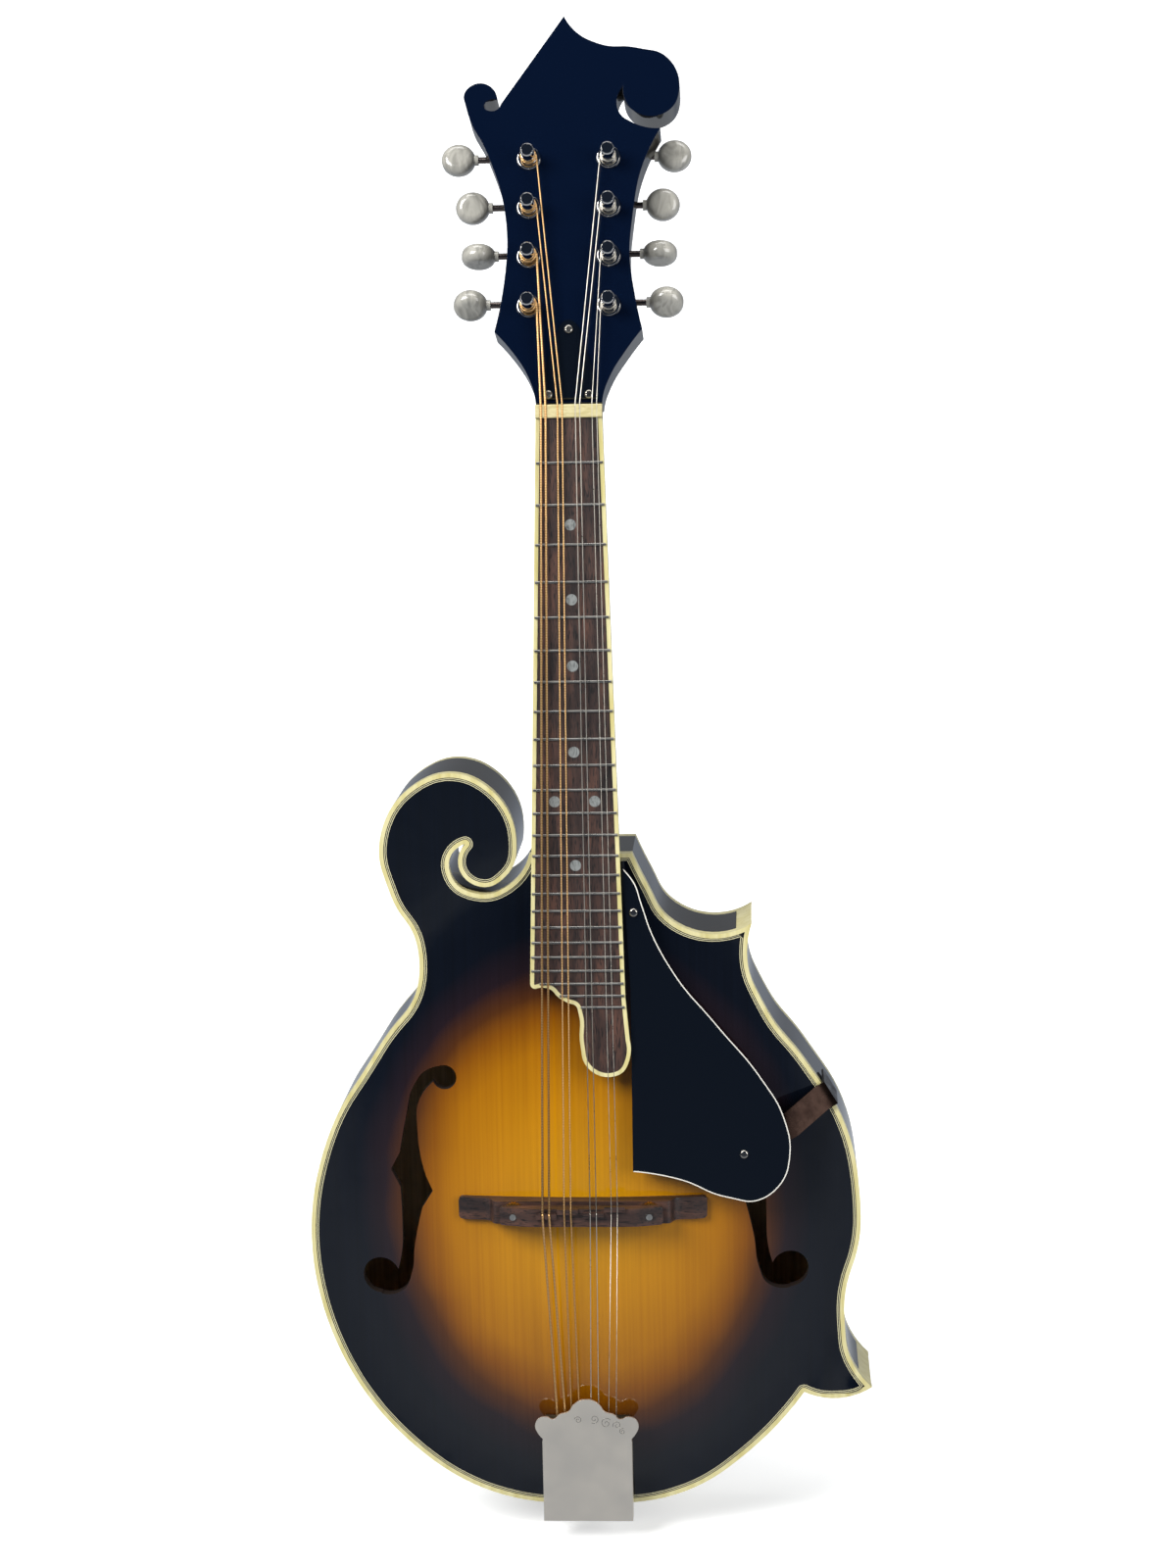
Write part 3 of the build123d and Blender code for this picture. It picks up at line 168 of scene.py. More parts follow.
def piece_of(node, name, *finishes, angle=32.0, edge=0.0, segments=2, merge_flats=True):
    """A merged, smoothed and softly edged piece made from a CAD node, which it stands for."""
    source = frame["nodes"][node]
    obj = source.copy()
    obj.data = source.data.copy()
    for key in list(obj.keys()):
        del obj[key]
    obj.parent = None
    obj.name = obj.data.name = name
    bpy.context.scene.collection.objects.link(obj)
    take(obj)
    bpy.ops.mesh.customdata_custom_splitnormals_clear()
    bpy.ops.object.mode_set(mode="EDIT")
    bpy.ops.mesh.select_all(action="SELECT")
    bpy.ops.mesh.remove_doubles(threshold=2e-6)
    if merge_flats:
        bpy.ops.mesh.dissolve_limited(angle_limit=math.radians(0.02))
    bpy.ops.object.mode_set(mode="OBJECT")
    finished(obj, BODY_OF[node], SLOT_OF[node], *finishes)
    if edge:
        soften(obj, edge, segments)
    take(obj)
    bpy.ops.object.shade_smooth_by_angle(angle=math.radians(angle))
    if edge:
        # Flats stay flat right up to their rounded edges.
        flats = obj.modifiers.new("flats", "WEIGHTED_NORMAL")
        flats.keep_sharp = True
        apply_all(obj)
    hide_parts(node)
    return obj


def soften(obj, width, segments=2, angle=40.0):
    """Rounds the sharp edges of a piece."""
    bevel = obj.modifiers.new("edges", "BEVEL")
    bevel.width = width
    bevel.segments = segments
    bevel.limit_method = "ANGLE"
    bevel.angle_limit = math.radians(angle)
    bevel.use_clamp_overlap = True
    apply_all(obj)


def dress(node, finish):
    """Gives a CAD node that stays its material."""
    slots = frame["nodes"][node].data.materials
    slots.clear()
    slots.append(finish)


def paint_faces(obj, index, rule):
    """Gives the faces that a rule picks, by centre and normal, another of the piece's materials."""
    for face in obj.data.polygons:
        if rule(face.center, face.normal):
            face.material_index = index


# ------------------------------------------------------------------ finishes
def sunburst_spruce(colours):
    """Carved spruce under gloss lacquer: amber middle shaded through brown to blue-black at the rim."""
    finish, tree, shader = new_finish("sunburst_spruce", "#a56b04", 0.42, coat=1.0, coat_roughness=0.04)
    if not tree:
        return finish
    # The burst is an oval about the bridge, 87 mm by 109 mm to the middle of its brown.
    oval = places(tree, (1 / 0.087, 0, 1 / 0.109), (0, 0, -0.162 / 0.109))
    cloud = add_node(tree, "ShaderNodeTexNoise", {"Vector": places(tree, (22, 22, 22)), "Scale": 1.0,
                                                  "Detail": 2.0})
    reach = add_node(tree, "ShaderNodeVectorMath", {0: oval}, operation="LENGTH")
    drift = add_node(tree, "ShaderNodeMath", {0: cloud.outputs[0], 1: 0.10, 2: -0.05},
                     operation="MULTIPLY_ADD")
    blur = add_node(tree, "ShaderNodeMath", {0: reach.outputs["Value"], 1: drift.outputs[0]})
    share = add_node(tree, "ShaderNodeMath", {0: blur.outputs[0], 1: 1 / 1.5}, operation="MULTIPLY")
    burst = add_node(tree, "ShaderNodeValToRGB", {0: share.outputs[0]},
                     stops=[(0.0, "#c98f0c"), (0.30, "#bb7e08"), (0.48, "#a36803"), (0.565, "#814b03"),
                            (0.635, "#4d2a0e"), (0.71, "#20151a"), (0.80, "#0a0e17"), (1.0, "#070c15")])
    burst.color_ramp.elements[0].color = (*colours.amber, 1)
    # Spruce rings 1.4 mm apart along the top.
    rings = add_node(tree, "ShaderNodeTexNoise", {"Vector": places(tree, (710, 60, 5)), "Scale": 1.0,
                                                  "Detail": 3.0, "Roughness": 0.6})
    veil = add_node(tree, "ShaderNodeValToRGB", {0: rings.outputs[0]},
                    stops=[(0.30, "#ece5da"), (0.62, "#ffffff")])
    wood = add_node(tree, "ShaderNodeMix", {0: 0.8, 6: burst.outputs[0], 7: veil.outputs[0]},
                    data_type="RGBA", blend_type="MULTIPLY")
    tree.links.new(wood.outputs[2], shader.inputs["Base Color"])
    waves = add_node(tree, "ShaderNodeTexNoise", {"Vector": places(tree, (30, 30, 14)), "Scale": 1.0,
                                                  "Detail": 1.0})
    bumped(tree, shader, waves.outputs[0], 0.25, 0.0004, coat=True)
    return finish


def bare_wood(name, pale, dark):
    """Unfinished inside wood: pale, dry, with close rings along the grain."""
    finish, tree, shader = new_finish(name, pale, 0.75)
    if not tree:
        return finish
    rings = add_node(tree, "ShaderNodeTexNoise", {"Vector": places(tree, (600, 600, 9)), "Scale": 1.0,
                                                  "Detail": 3.0})
    grain = add_node(tree, "ShaderNodeValToRGB", {0: rings.outputs[0]},
                     stops=[(0.3, dark), (0.65, pale)])
    tree.links.new(grain.outputs[0], shader.inputs["Base Color"])
    bumped(tree, shader, rings.outputs[0], 0.3, 0.0001)
    return finish


def flamed_maple(name, middle, rim, centre=None, reach=(0.1, 0.13)):
    """Curly maple under dark gloss lacquer: soft cross bands 9 mm apart that show through the stain."""
    finish, tree, shader = new_finish(name, rim, 0.4, coat=1.0, coat_roughness=0.04)
    if not tree:
        return finish
    slanted = places(tree, (16, 16, 110), turn=(0, 0.16, 0))
    bands = add_node(tree, "ShaderNodeTexNoise", {"Vector": slanted, "Scale": 1.0, "Detail": 3.0,
                                                  "Distortion": 0.5})
    if centre:
        oval = places(tree, (1 / reach[0], 0, 1 / reach[1]),
                      (-centre[0] / reach[0], 0, -centre[1] / reach[1]))
        away = add_node(tree, "ShaderNodeVectorMath", {0: oval}, operation="LENGTH").outputs["Value"]
        stain = add_node(tree, "ShaderNodeValToRGB", {0: away},
                         stops=[(0.0, middle), (0.45, middle), (0.8, "#2a0f08"), (1.0, rim)])
    else:
        stain = add_node(tree, "ShaderNodeValToRGB", {0: bands.outputs[0]},
                         stops=[(0.3, rim), (0.7, middle)])
    curl = add_node(tree, "ShaderNodeValToRGB", {0: bands.outputs[0]},
                    stops=[(0.38, "#8c8c8c"), (0.62, "#ffffff")])
    wood = add_node(tree, "ShaderNodeMix", {0: 0.85, 6: stain.outputs[0], 7: curl.outputs[0]},
                    data_type="RGBA", blend_type="MULTIPLY")
    tree.links.new(wood.outputs[2], shader.inputs["Base Color"])
    waves = add_node(tree, "ShaderNodeTexNoise", {"Vector": places(tree, (26, 26, 26)), "Scale": 1.0})
    bumped(tree, shader, waves.outputs[0], 0.2, 0.0004, coat=True)
    return finish


def rosewood(name, grain):
    """Oiled rosewood: dark brown with darker streaks and open pores about 0.4 mm wide."""
    finish, tree, shader = new_finish(name, "#35241f", 0.45, ior=1.5)
    if not tree:
        return finish
    wide = tuple(26 if along else 240 for along in grain)
    fine = tuple(130 if along else 2300 for along in grain)
    streaks = add_node(tree, "ShaderNodeTexNoise", {"Vector": places(tree, wide), "Scale": 1.0,
                                                    "Detail": 4.0, "Distortion": 0.3})
    tone = add_node(tree, "ShaderNodeValToRGB", {0: streaks.outputs[0]},
                    stops=[(0.3, "#1d1514"), (0.5, "#3a2822"), (0.72, "#57392d")])
    pores = add_node(tree, "ShaderNodeTexNoise", {"Vector": places(tree, fine), "Scale": 1.0,
                                                  "Detail": 1.0})
    pits = add_node(tree, "ShaderNodeValToRGB", {0: pores.outputs[0]},
                    stops=[(0.36, "#6e6e6e"), (0.46, "#ffffff")])
    wood = add_node(tree, "ShaderNodeMix", {0: 1.0, 6: tone.outputs[0], 7: pits.outputs[0]},
                    data_type="RGBA", blend_type="MULTIPLY")
    tree.links.new(wood.outputs[2], shader.inputs["Base Color"])
    gloss = add_node(tree, "ShaderNodeMapRange", {0: streaks.outputs[0], 3: 0.36, 4: 0.56})
    tree.links.new(gloss.outputs[0], shader.inputs["Roughness"])
    bumped(tree, shader, pits.outputs[0], 0.35, 0.0001)
    return finish


def ivory_celluloid():
    """Cream celluloid binding: scraped and buffed, with a faint lengthwise grain."""
    finish, tree, shader = new_finish("cream_celluloid", "#e6dfae", 0.32, coat=0.5, ior=1.5)
    if not tree:
        return finish
    grain = add_node(tree, "ShaderNodeTexNoise", {"Vector": places(tree, (300, 300, 40)), "Scale": 1.0,
                                                  "Detail": 3.0})
    tone = add_node(tree, "ShaderNodeValToRGB", {0: grain.outputs[0]},
                    stops=[(0.3, "#c9bd7c"), (0.65, "#dcd3a0")])
    tree.links.new(tone.outputs[0], shader.inputs["Base Color"])
    bumped(tree, shader, grain.outputs[0], 0.15, 0.0001)
    return finish


def purfling_lines():
    """Thin black and cream sheets glued side by side, as lines round the top inside the binding."""
    finish, tree, shader = new_finish("purfling_lines", "#0a0a0a", 0.35, coat=1.0, coat_roughness=0.04)
    if not tree:
        return finish
    across = add_node(tree, "ShaderNodeAttribute", attribute_name="across")
    lines = add_node(tree, "ShaderNodeValToRGB", {0: across.outputs["Fac"]},
                     stops=[(0.0, "#0a0a0c"), (0.20, "#cfc8a0"), (0.38, "#0a0a0c"), (0.62, "#cfc8a0"),
                            (0.80, "#0a0a0c")])
    lines.color_ramp.interpolation = "CONSTANT"
    tree.links.new(lines.outputs[0], shader.inputs["Base Color"])
    return finish


def bone():
    """Bleached bone: warm, close-grained and hand polished."""
    finish, tree, shader = new_finish("polished_bone", "#dbd19f", 0.35, ior=1.54)
    if not tree:
        return finish
    flecks = add_node(tree, "ShaderNodeTexNoise", {"Vector": places(tree, (260, 900, 900)), "Scale": 1.0,
                                                   "Detail": 3.0})
    tone = add_node(tree, "ShaderNodeValToRGB", {0: flecks.outputs[0]},
                    stops=[(0.32, "#b3a672"), (0.6, "#c9be90")])
    tree.links.new(tone.outputs[0], shader.inputs["Base Color"])
    bumped(tree, shader, flecks.outputs[0], 0.15, 0.00008)
    return finish


def pearl(name, dark, light, scale):
    """Pearl celluloid: milky grey with brighter swirls and a glossy skin."""
    finish, tree, shader = new_finish(name, light, 0.28, coat=0.7, ior=1.5)
    if not tree:
        return finish
    swirl = add_node(tree, "ShaderNodeTexNoise", {"Vector": places(tree, (scale, scale, scale * 0.35)),
                                                  "Scale": 1.0, "Detail": 4.0, "Distortion": 1.6})
    tone = add_node(tree, "ShaderNodeValToRGB", {0: swirl.outputs[0]},
                    stops=[(0.3, dark), (0.5, light), (0.7, dark)])
    tree.links.new(tone.outputs[0], shader.inputs["Base Color"])
    return finish


def black_gloss(name, colour, coat_roughness, depth):
    """Sprayed or moulded black with a deep gloss and the faint waviness of a polished flat."""
    finish, tree, shader = new_finish(name, colour, 0.3, coat=1.0, coat_roughness=coat_roughness)
    if not tree:
        return finish
    waves = add_node(tree, "ShaderNodeTexNoise", {"Vector": places(tree, (35, 35, 35)), "Scale": 1.0})
    specks = add_node(tree, "ShaderNodeTexNoise", {"Vector": places(tree, (900, 900, 900)),
                                                   "Scale": 1.0})
    haze = add_node(tree, "ShaderNodeMapRange", {0: specks.outputs[0], 3: 0.22, 4: 0.4})
    tree.links.new(haze.outputs[0], shader.inputs["Roughness"])
    bumped(tree, shader, waves.outputs[0], 0.25, depth, coat=True)
    return finish


def plated(name, colour, roughness, brushed=None):
    """Plated or polished metal: a mirror softened by handling marks, or fine brushed lines."""
    finish, tree, shader = new_finish(name, colour, roughness, metallic=1.0)
    if not tree:
        return finish
    scale = brushed or (170, 170, 170)
    marks = add_node(tree, "ShaderNodeTexNoise", {"Vector": places(tree, scale), "Scale": 1.0,
                                                  "Detail": 4.0, "Roughness": 0.6})
    gloss = add_node(tree, "ShaderNodeMapRange", {0: marks.outputs[0], 1: 0.3, 2: 0.7,
                                                  3: roughness * (0.9 if brushed else 0.6),
                                                  4: roughness * (1.1 if brushed else 1.5)})
    tree.links.new(gloss.outputs[0], shader.inputs["Roughness"])
    bumped(tree, shader, marks.outputs[0], 0.08, 0.0001)
    return finish


WRAP_WAVES = math.tau / (20 * 0.7 * MM)        # a wave texture has tau / 20 as its unit


def wound_bronze():
    """Phosphor bronze wrap wire over a steel core, with wraps 0.7 mm apart, each painted darker in its grooves as
    painted shade and lighter on its crest as painted highlight.
    """
    finish, tree, shader = new_finish("wound_bronze", "#d9a868", 0.4, metallic=1.0)
    if not tree:
        return finish
    wraps = add_node(tree, "ShaderNodeTexWave", {"Vector": places(tree), "Scale": WRAP_WAVES,
                                                 "Distortion": 0.0}, bands_direction="Z",
                     wave_profile="SIN")
    # Painted shade in the grooves between wraps and a painted highlight on each crest.
    tone = add_node(tree, "ShaderNodeValToRGB", {0: wraps.outputs[1]},
                    stops=[(0.0, "#a87845"), (0.5, "#e0b070"), (1.0, "#f2cf98")])
    tree.links.new(tone.outputs[0], shader.inputs["Base Color"])
    bumped(tree, shader, wraps.outputs[1], 0.5, 0.0001)
    return finish


# ------------------------------------------------------------------ settings
class MandolinColours(bpy.types.PropertyGroup):
    """Colours a user would change."""
    floor: bpy.props.FloatVectorProperty(
        name="Floor", description="Colour of the studio sweep", subtype="COLOR", size=3,
        min=0, max=1, default=linear("#f4f4f2")[:3])
    amber: bpy.props.FloatVectorProperty(
        name="Amber", description="Lacquer colour in the middle of the top", subtype="COLOR", size=3,
        min=0, max=1, default=linear("#c98f0c")[:3])


class MandolinSizes(bpy.types.PropertyGroup):
    """Small sizes a user would change."""
    edge: bpy.props.FloatProperty(
        name="Edge", description="Rounding of scraped and polished edges", default=0.0004, min=0,
        subtype="DISTANCE", unit="LENGTH")
    wraps: bpy.props.IntProperty(
        name="Wraps", description="Turns of string round each post", default=3, min=1, max=6)
    engraving: bpy.props.FloatProperty(
        name="Engraving", description="Radius of the engraved lines on the tailpiece cover",
        default=0.00011, min=0, subtype="DISTANCE", unit="LENGTH")


# ------------------------------------------------------------------ body
class MANDOLIN_OT_soundboard(bpy.types.Operator):
    """Carved top: lacquered outside, dark-stained in the f-holes and darkened further there as painted shade, and
    bare underneath
    """
    bl_idname = "mandolin.soundboard"
    bl_label = "Soundboard"

    def execute(self, context):
        outside = sunburst_spruce(context.scene.mandolin_colours)
        inside = bare_wood("bare_spruce", "#c9a468", "#a9814a")
        stained = new_finish("stain_and_shade_spruce", "#1c1009", 0.6)[0]
        top = piece_of("soundboard", "carved_top", outside, inside, stained, angle=40)
        paint_faces(top, 1, lambda middle, normal: normal.y > 0.35)
        # The f-hole walls get a near-black brown: partly their dark stain, partly painted shade in the holes.
        paint_faces(top, 2, lambda middle, normal: abs(normal.y) <= 0.35)
        return {"FINISHED"}


class MANDOLIN_OT_back_and_sides(bpy.types.Operator):
    """Maple back, ribs and neck under dark lacquer"""
    bl_idname = "mandolin.back_and_sides"
    bl_label = "Back, sides and neck"

    def execute(self, context):
        back = flamed_maple("flamed_maple_back", "#6b3413", "#0c0706", centre=(0.0, 0.165),
                            reach=(0.115, 0.15))
        side = flamed_maple("stained_maple_sides", "#150c0a", "#070506")
        bare = bare_wood("bare_maple", "#cdb184", "#b39666")
        plate = piece_of("back_plate", "carved_back", back, bare, angle=40)
        paint_faces(plate, 1, lambda middle, normal: normal.y < -0.35)
        piece_of("ribs", "bent_ribs", side, bare, angle=40)
        piece_of("neck", "carved_neck", side, angle=34)
        return {"FINISHED"}


class MANDOLIN_OT_bindings(bpy.types.Operator):
    """Cream binding round both plates, the purfling lines inside it, and the caps on the points"""
    bl_idname = "mandolin.bindings"
    bl_label = "Bindings"

    def execute(self, context):
        edge = context.scene.mandolin_sizes.edge
        cream = ivory_celluloid()
        piece_of("body_binding", "rim_binding", cream, angle=40, edge=edge)
        piece_of("fretboard_binding", "fretboard_edge", cream, angle=40, edge=edge * 0.6)
        piece_of("point_caps", "point_tips", cream, angle=40, edge=edge)
        lines = piece_of("top_purfling", "rim_lines", purfling_lines(), angle=40, merge_flats=False)
        mark_across(lines)
        return {"FINISHED"}


def mark_across(ring):
    """Writes how far each corner of a flat ring lies from its outer wall, 0, to its inner wall, 1."""
    mesh = bmesh.new()
    mesh.from_mesh(ring.data)
    mesh.faces.ensure_lookup_table()
    side_of = {}
    groups = []
    for face in mesh.faces:
        if abs(face.normal.y) > 0.5 or face.index in side_of:
            continue
        group, waiting = [], [face]
        side_of[face.index] = len(groups)
        while waiting:
            here = waiting.pop()
            group.append(here)
            for edge in here.edges:
                for beside in edge.link_faces:
                    if beside.index not in side_of and abs(beside.normal.y) <= 0.5:
                        side_of[beside.index] = len(groups)
                        waiting.append(beside)
        groups.append(group)
    inner = set()
    reach = [sum(edge.calc_length() for face in group for edge in face.edges) for group in groups]
    outermost = reach.index(max(reach))
    for number, group in enumerate(groups):
        if number != outermost:
            inner.update(corner.index for face in group for corner in face.verts)
    count = len(mesh.verts)
    mesh.free()
    across = ring.data.attributes.new("across", "FLOAT", "POINT")
    across.data.foreach_set("value", [1.0 if i in inner else 0.0 for i in range(count)])


class MANDOLIN_OT_inner_frame(bpy.types.Operator):
    """Blocks, linings and tone bars seen through the f-holes, and the truss rod"""
    bl_idname = "mandolin.inner_frame"
    bl_label = "Inner frame"

    def execute(self, context):
        bare = bare_wood("bare_maple", "#cdb184", "#b39666")
        for node in ("head_block", "tail_block", "corner_blocks", "linings", "tone_bars"):
            dress(node, bare)
        dress("truss_rod", plated("drawn_steel", "#8a8a8c", 0.35))
        return {"FINISHED"}


# ------------------------------------------------------------------ neck
class MANDOLIN_OT_fretboard(bpy.types.Operator):
    """Rosewood fretboard with polished frets, pearl dots and a bone nut"""
    bl_idname = "mandolin.fretboard"
    bl_label = "Fretboard and nut"

    def execute(self, context):
        piece_of("fretboard", "rosewood_board", rosewood("rosewood_long", (0, 0, 1)))
        piece_of("frets", "fret_wire", plated("fret_nickel", "#8f8d88", 0.3), angle=60)
        piece_of("inlay_dots", "pearl_dots", pearl("pearl_shell", "#5f6261", "#8f928f", 420))
        piece_of("nut", "bone_nut", bone(), edge=0.00012)
        return {"FINISHED"}


class MANDOLIN_OT_headstock(bpy.types.Operator):
    """Black headstock face, the bell-shaped rod cover and the nut of the truss rod"""
    bl_idname = "mandolin.headstock"
    bl_label = "Headstock face"

    def execute(self, context):
        piece_of("headstock_overlay", "headstock_face",
                 black_gloss("sprayed_black", "#040d20", 0.05, 0.0004), edge=0.0003)
        piece_of("truss_rod_cover", "rod_cover",
                 black_gloss("moulded_black", "#080d15", 0.06, 0.0003))
        piece_of("truss_rod_nut", "rod_nut", plated("turned_brass", "#b58d45", 0.25), edge=0.0002)
        return {"FINISHED"}


class MANDOLIN_OT_tuners(bpy.types.Operator):
    """Geared tuners: chromed posts and bushings, brass wheels, steel worms and pearl buttons"""
    bl_idname = "mandolin.tuners"
    bl_label = "Tuners"

    def execute(self, context):
        chrome = plated("chrome", "#c9c7c4", 0.05)
        nickel = plated("stamped_nickel", "#bdb9b0", 0.16)
        steel = plated("blued_steel", "#5d5552", 0.22)
        brass = plated("turned_brass", "#b58d45", 0.25)
        buttons = pearl("pearl_buttons", "#85837b", "#aaa79d", 130)
        piece_of("tuner_bushings", "bushings", chrome, edge=0.00025)
        piece_of("tuner_plates", "tuner_backs", nickel, edge=0.0002)
        sizes = context.scene.mandolin_sizes
        for peg in PEGS:
            axis = Vector(JOINTS[f"post_turn_{peg}"]["axis"]).normalized()
            foot = Vector(JOINTS[f"post_turn_{peg}"]["pos_m"])
            post = piece_of(f"string_post_{peg}", f"post_{peg}", chrome, brass, edge=0.0001)
            paint_faces(post, 1, lambda middle, normal: (middle - foot).dot(axis) < -GEAR_DROP
                        and (middle - foot - axis * (middle - foot).dot(axis)).length > GEAR_HUB)
            piece_of(f"worm_shaft_{peg}", f"worm_{peg}", steel)
            piece_of(f"tuner_button_{peg}", f"button_{peg}", buttons, angle=50)
            wind_post(peg, foot, axis, sizes.wraps)
        return {"FINISHED"}


GEAR_DROP = 17.5 * MM           # the wheel lies this far below the headstock face
GEAR_HUB = 2.45 * MM            # brass outside this radius, steel post inside
WRAP_PITCH = 1.02               # in string thicknesses
POST_RADIUS = 3.1 * MM
STRING_RISE = 4.2 * MM          # where a string meets its post, above the headstock face


def wind_post(peg, foot, axis, wraps):
    """String wound round a post: one circle swept down the post by a screw."""
    side, k = peg.split("_")
    k = int(k)
    gauge = {"bass": (0.8, 0.8, 0.6, 0.6), "treble": (0.28, 0.28, 0.41, 0.41)}[side][k - 1] * MM
    deselect()
    bpy.ops.mesh.primitive_circle_add(vertices=10, radius=gauge / 2, rotation=(math.pi / 2, 0, 0),
                                      location=(POST_RADIUS + gauge / 2, 0, 0))
    coil = bpy.context.object
    coil.name = coil.data.name = f"winding_{peg}"
    bpy.ops.object.transform_apply(location=True, rotation=True, scale=True)
    turns = coil.modifiers.new("turns", "SCREW")
    turns.axis = "Z"
    turns.angle = math.tau * wraps
    turns.screw_offset = gauge * WRAP_PITCH * wraps
    turns.steps = turns.render_steps = 28 * wraps
    turns.use_merge_vertices = False
    apply_all(coil)
    bpy.ops.object.mode_set(mode="EDIT")
    bpy.ops.mesh.select_all(action="SELECT")
    bpy.ops.mesh.remove_doubles(threshold=1e-7)
    bpy.ops.mesh.normals_make_consistent(inside=False)
    bpy.ops.object.mode_set(mode="OBJECT")
    lowest = STRING_RISE - gauge * WRAP_PITCH * (wraps - 0.5)
    turn = Vector((0, 0, 1)).rotation_difference(axis).to_matrix().to_4x4()
    coil.data.transform(Matrix.Translation(foot + axis * lowest) @ turn)
    bpy.ops.object.shade_smooth()
    wire = wound_bronze() if side == "bass" else plated("music_wire", "#d4cec0", 0.36)
    finished(coil, f"post_{peg}", "string_steel", wire)


# ------------------------------------------------------------------ strings
class MANDOLIN_OT_strings(bpy.types.Operator):
    """Eight strings: wound pairs on the bass side, plain pairs on the treble side"""
    bl_idname = "mandolin.strings"
    bl_label = "Strings"

    def execute(self, context):
        wound = wound_bronze()
        plain = plated("music_wire", "#d4cec0", 0.36)
        low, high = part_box("strings")
        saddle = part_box("bridge_saddle")
        crown = Vector((0, saddle[0].y, (saddle[0].z + saddle[1].z) / 2 + 1.8 * MM))
        tail = piece_of("strings", "strings_tail", wound, plain, angle=80)
        paint_faces(tail, 1, lambda middle, normal: middle.x > 0)
        speaking = tail.copy()
        speaking.data = tail.data.copy()
        speaking.name = speaking.data.name = "strings_speaking"
        bpy.context.scene.collection.objects.link(speaking)
        for obj, upper in ((tail, True), (speaking, False)):
            take(obj)
            bpy.ops.object.mode_set(mode="EDIT")
            bpy.ops.mesh.select_all(action="SELECT")
            bpy.ops.mesh.bisect(plane_co=crown, plane_no=(0, 0, 1), use_fill=True,
                                clear_outer=upper, clear_inner=not upper, threshold=1e-7)
            bpy.ops.object.mode_set(mode="OBJECT")
        # The string pieces are taken off the body that piece_of gave them and keep no parent.
        tail.parent = speaking.parent = None
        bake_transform(tail)
        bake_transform(speaking)
        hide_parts("strings")
        return {"FINISHED"}


# ------------------------------------------------------------------ bridge, tailpiece, pickguard
class MANDOLIN_OT_bridge(bpy.types.Operator):
    """Two-piece rosewood bridge on plated studs with knurled wheels"""
    bl_idname = "mandolin.bridge"
    bl_label = "Bridge"

    def execute(self, context):
        wood = rosewood("rosewood_across", (1, 0, 0))
        piece_of("bridge_base", "bridge_foot", wood, edge=0.0005)
        piece_of("bridge_saddle", "bridge_top", wood, edge=0.0003)
        wheel = plated("turned_brass", "#b58d45", 0.25)
        piece_of("thumbwheel_bass", "wheel_left", wheel)
        piece_of("thumbwheel_treble", "wheel_right", wheel)
        piece_of("bridge_studs", "studs", plated("stamped_nickel", "#bdb9b0", 0.16), edge=0.0002)
        return {"FINISHED"}


class MANDOLIN_OT_tailpiece(bpy.types.Operator):
    """Pressed tailpiece with its slide-off engraved cover and end pin"""
    bl_idname = "mandolin.tailpiece"
    bl_label = "Tailpiece and end pin"

    def execute(self, context):
        nickel = plated("stamped_nickel", "#bdb9b0", 0.16)
        satin = plated("cover_nickel", "#fdf3e2", 0.42, brushed=(60, 60, 60))
        piece_of("tailpiece_base", "tailpiece_plate", nickel, edge=0.0003)
        piece_of("tailpiece_cover", "tailpiece_shell", satin, edge=0.0004, segments=3)
        piece_of("end_pin", "strap_pin", nickel, angle=50, edge=0.0002)
        engrave_cover(context.scene.mandolin_sizes.engraving)
        return {"FINISHED"}


def engrave_cover(radius):
    """Plain leaf scrolls cut along the top of the cover, as five curls."""
    low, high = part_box("tailpiece_cover")
    face = low.y
    lines = bpy.data.curves.new("engraved_scrolls", "CURVE")
    lines.dimensions = "3D"
    lines.bevel_depth = radius
    lines.bevel_resolution = 1
    top = high.z
    # Each curl: middle across, middle below the top edge, size, first angle, way round (mm, turns).
    curls = ((9.0, 11.5, 2.6, 0.10, 1), (14.0, 12.5, 2.0, 0.55, -1), (3.5, 9.5, 2.2, 0.65, 1),
             (16.5, 15.5, 1.5, 0.20, 1), (-4.0, 10.0, 1.8, 0.45, -1))
    for x, drop, size, begin, way in curls:
        spline = lines.splines.new("POLY")
        count = 34
        spline.points.add(count - 1)
        for i, point in enumerate(spline.points):
            share = i / (count - 1)
            angle = math.tau * (begin + way * 1.4 * share)
            reach = size * (1 - 0.82 * share) * MM
            point.co = (x * MM + reach * math.cos(angle), face - radius * 0.2,
                        top - drop * MM + reach * math.sin(angle), 1)
    obj = bpy.data.objects.new("engraved_scrolls", lines)
    bpy.context.scene.collection.objects.link(obj)
    take(obj)
    bpy.ops.object.convert(target="MESH")
    finished(obj, "cover", "nickel", plated("cut_nickel", "#77756f", 0.35))


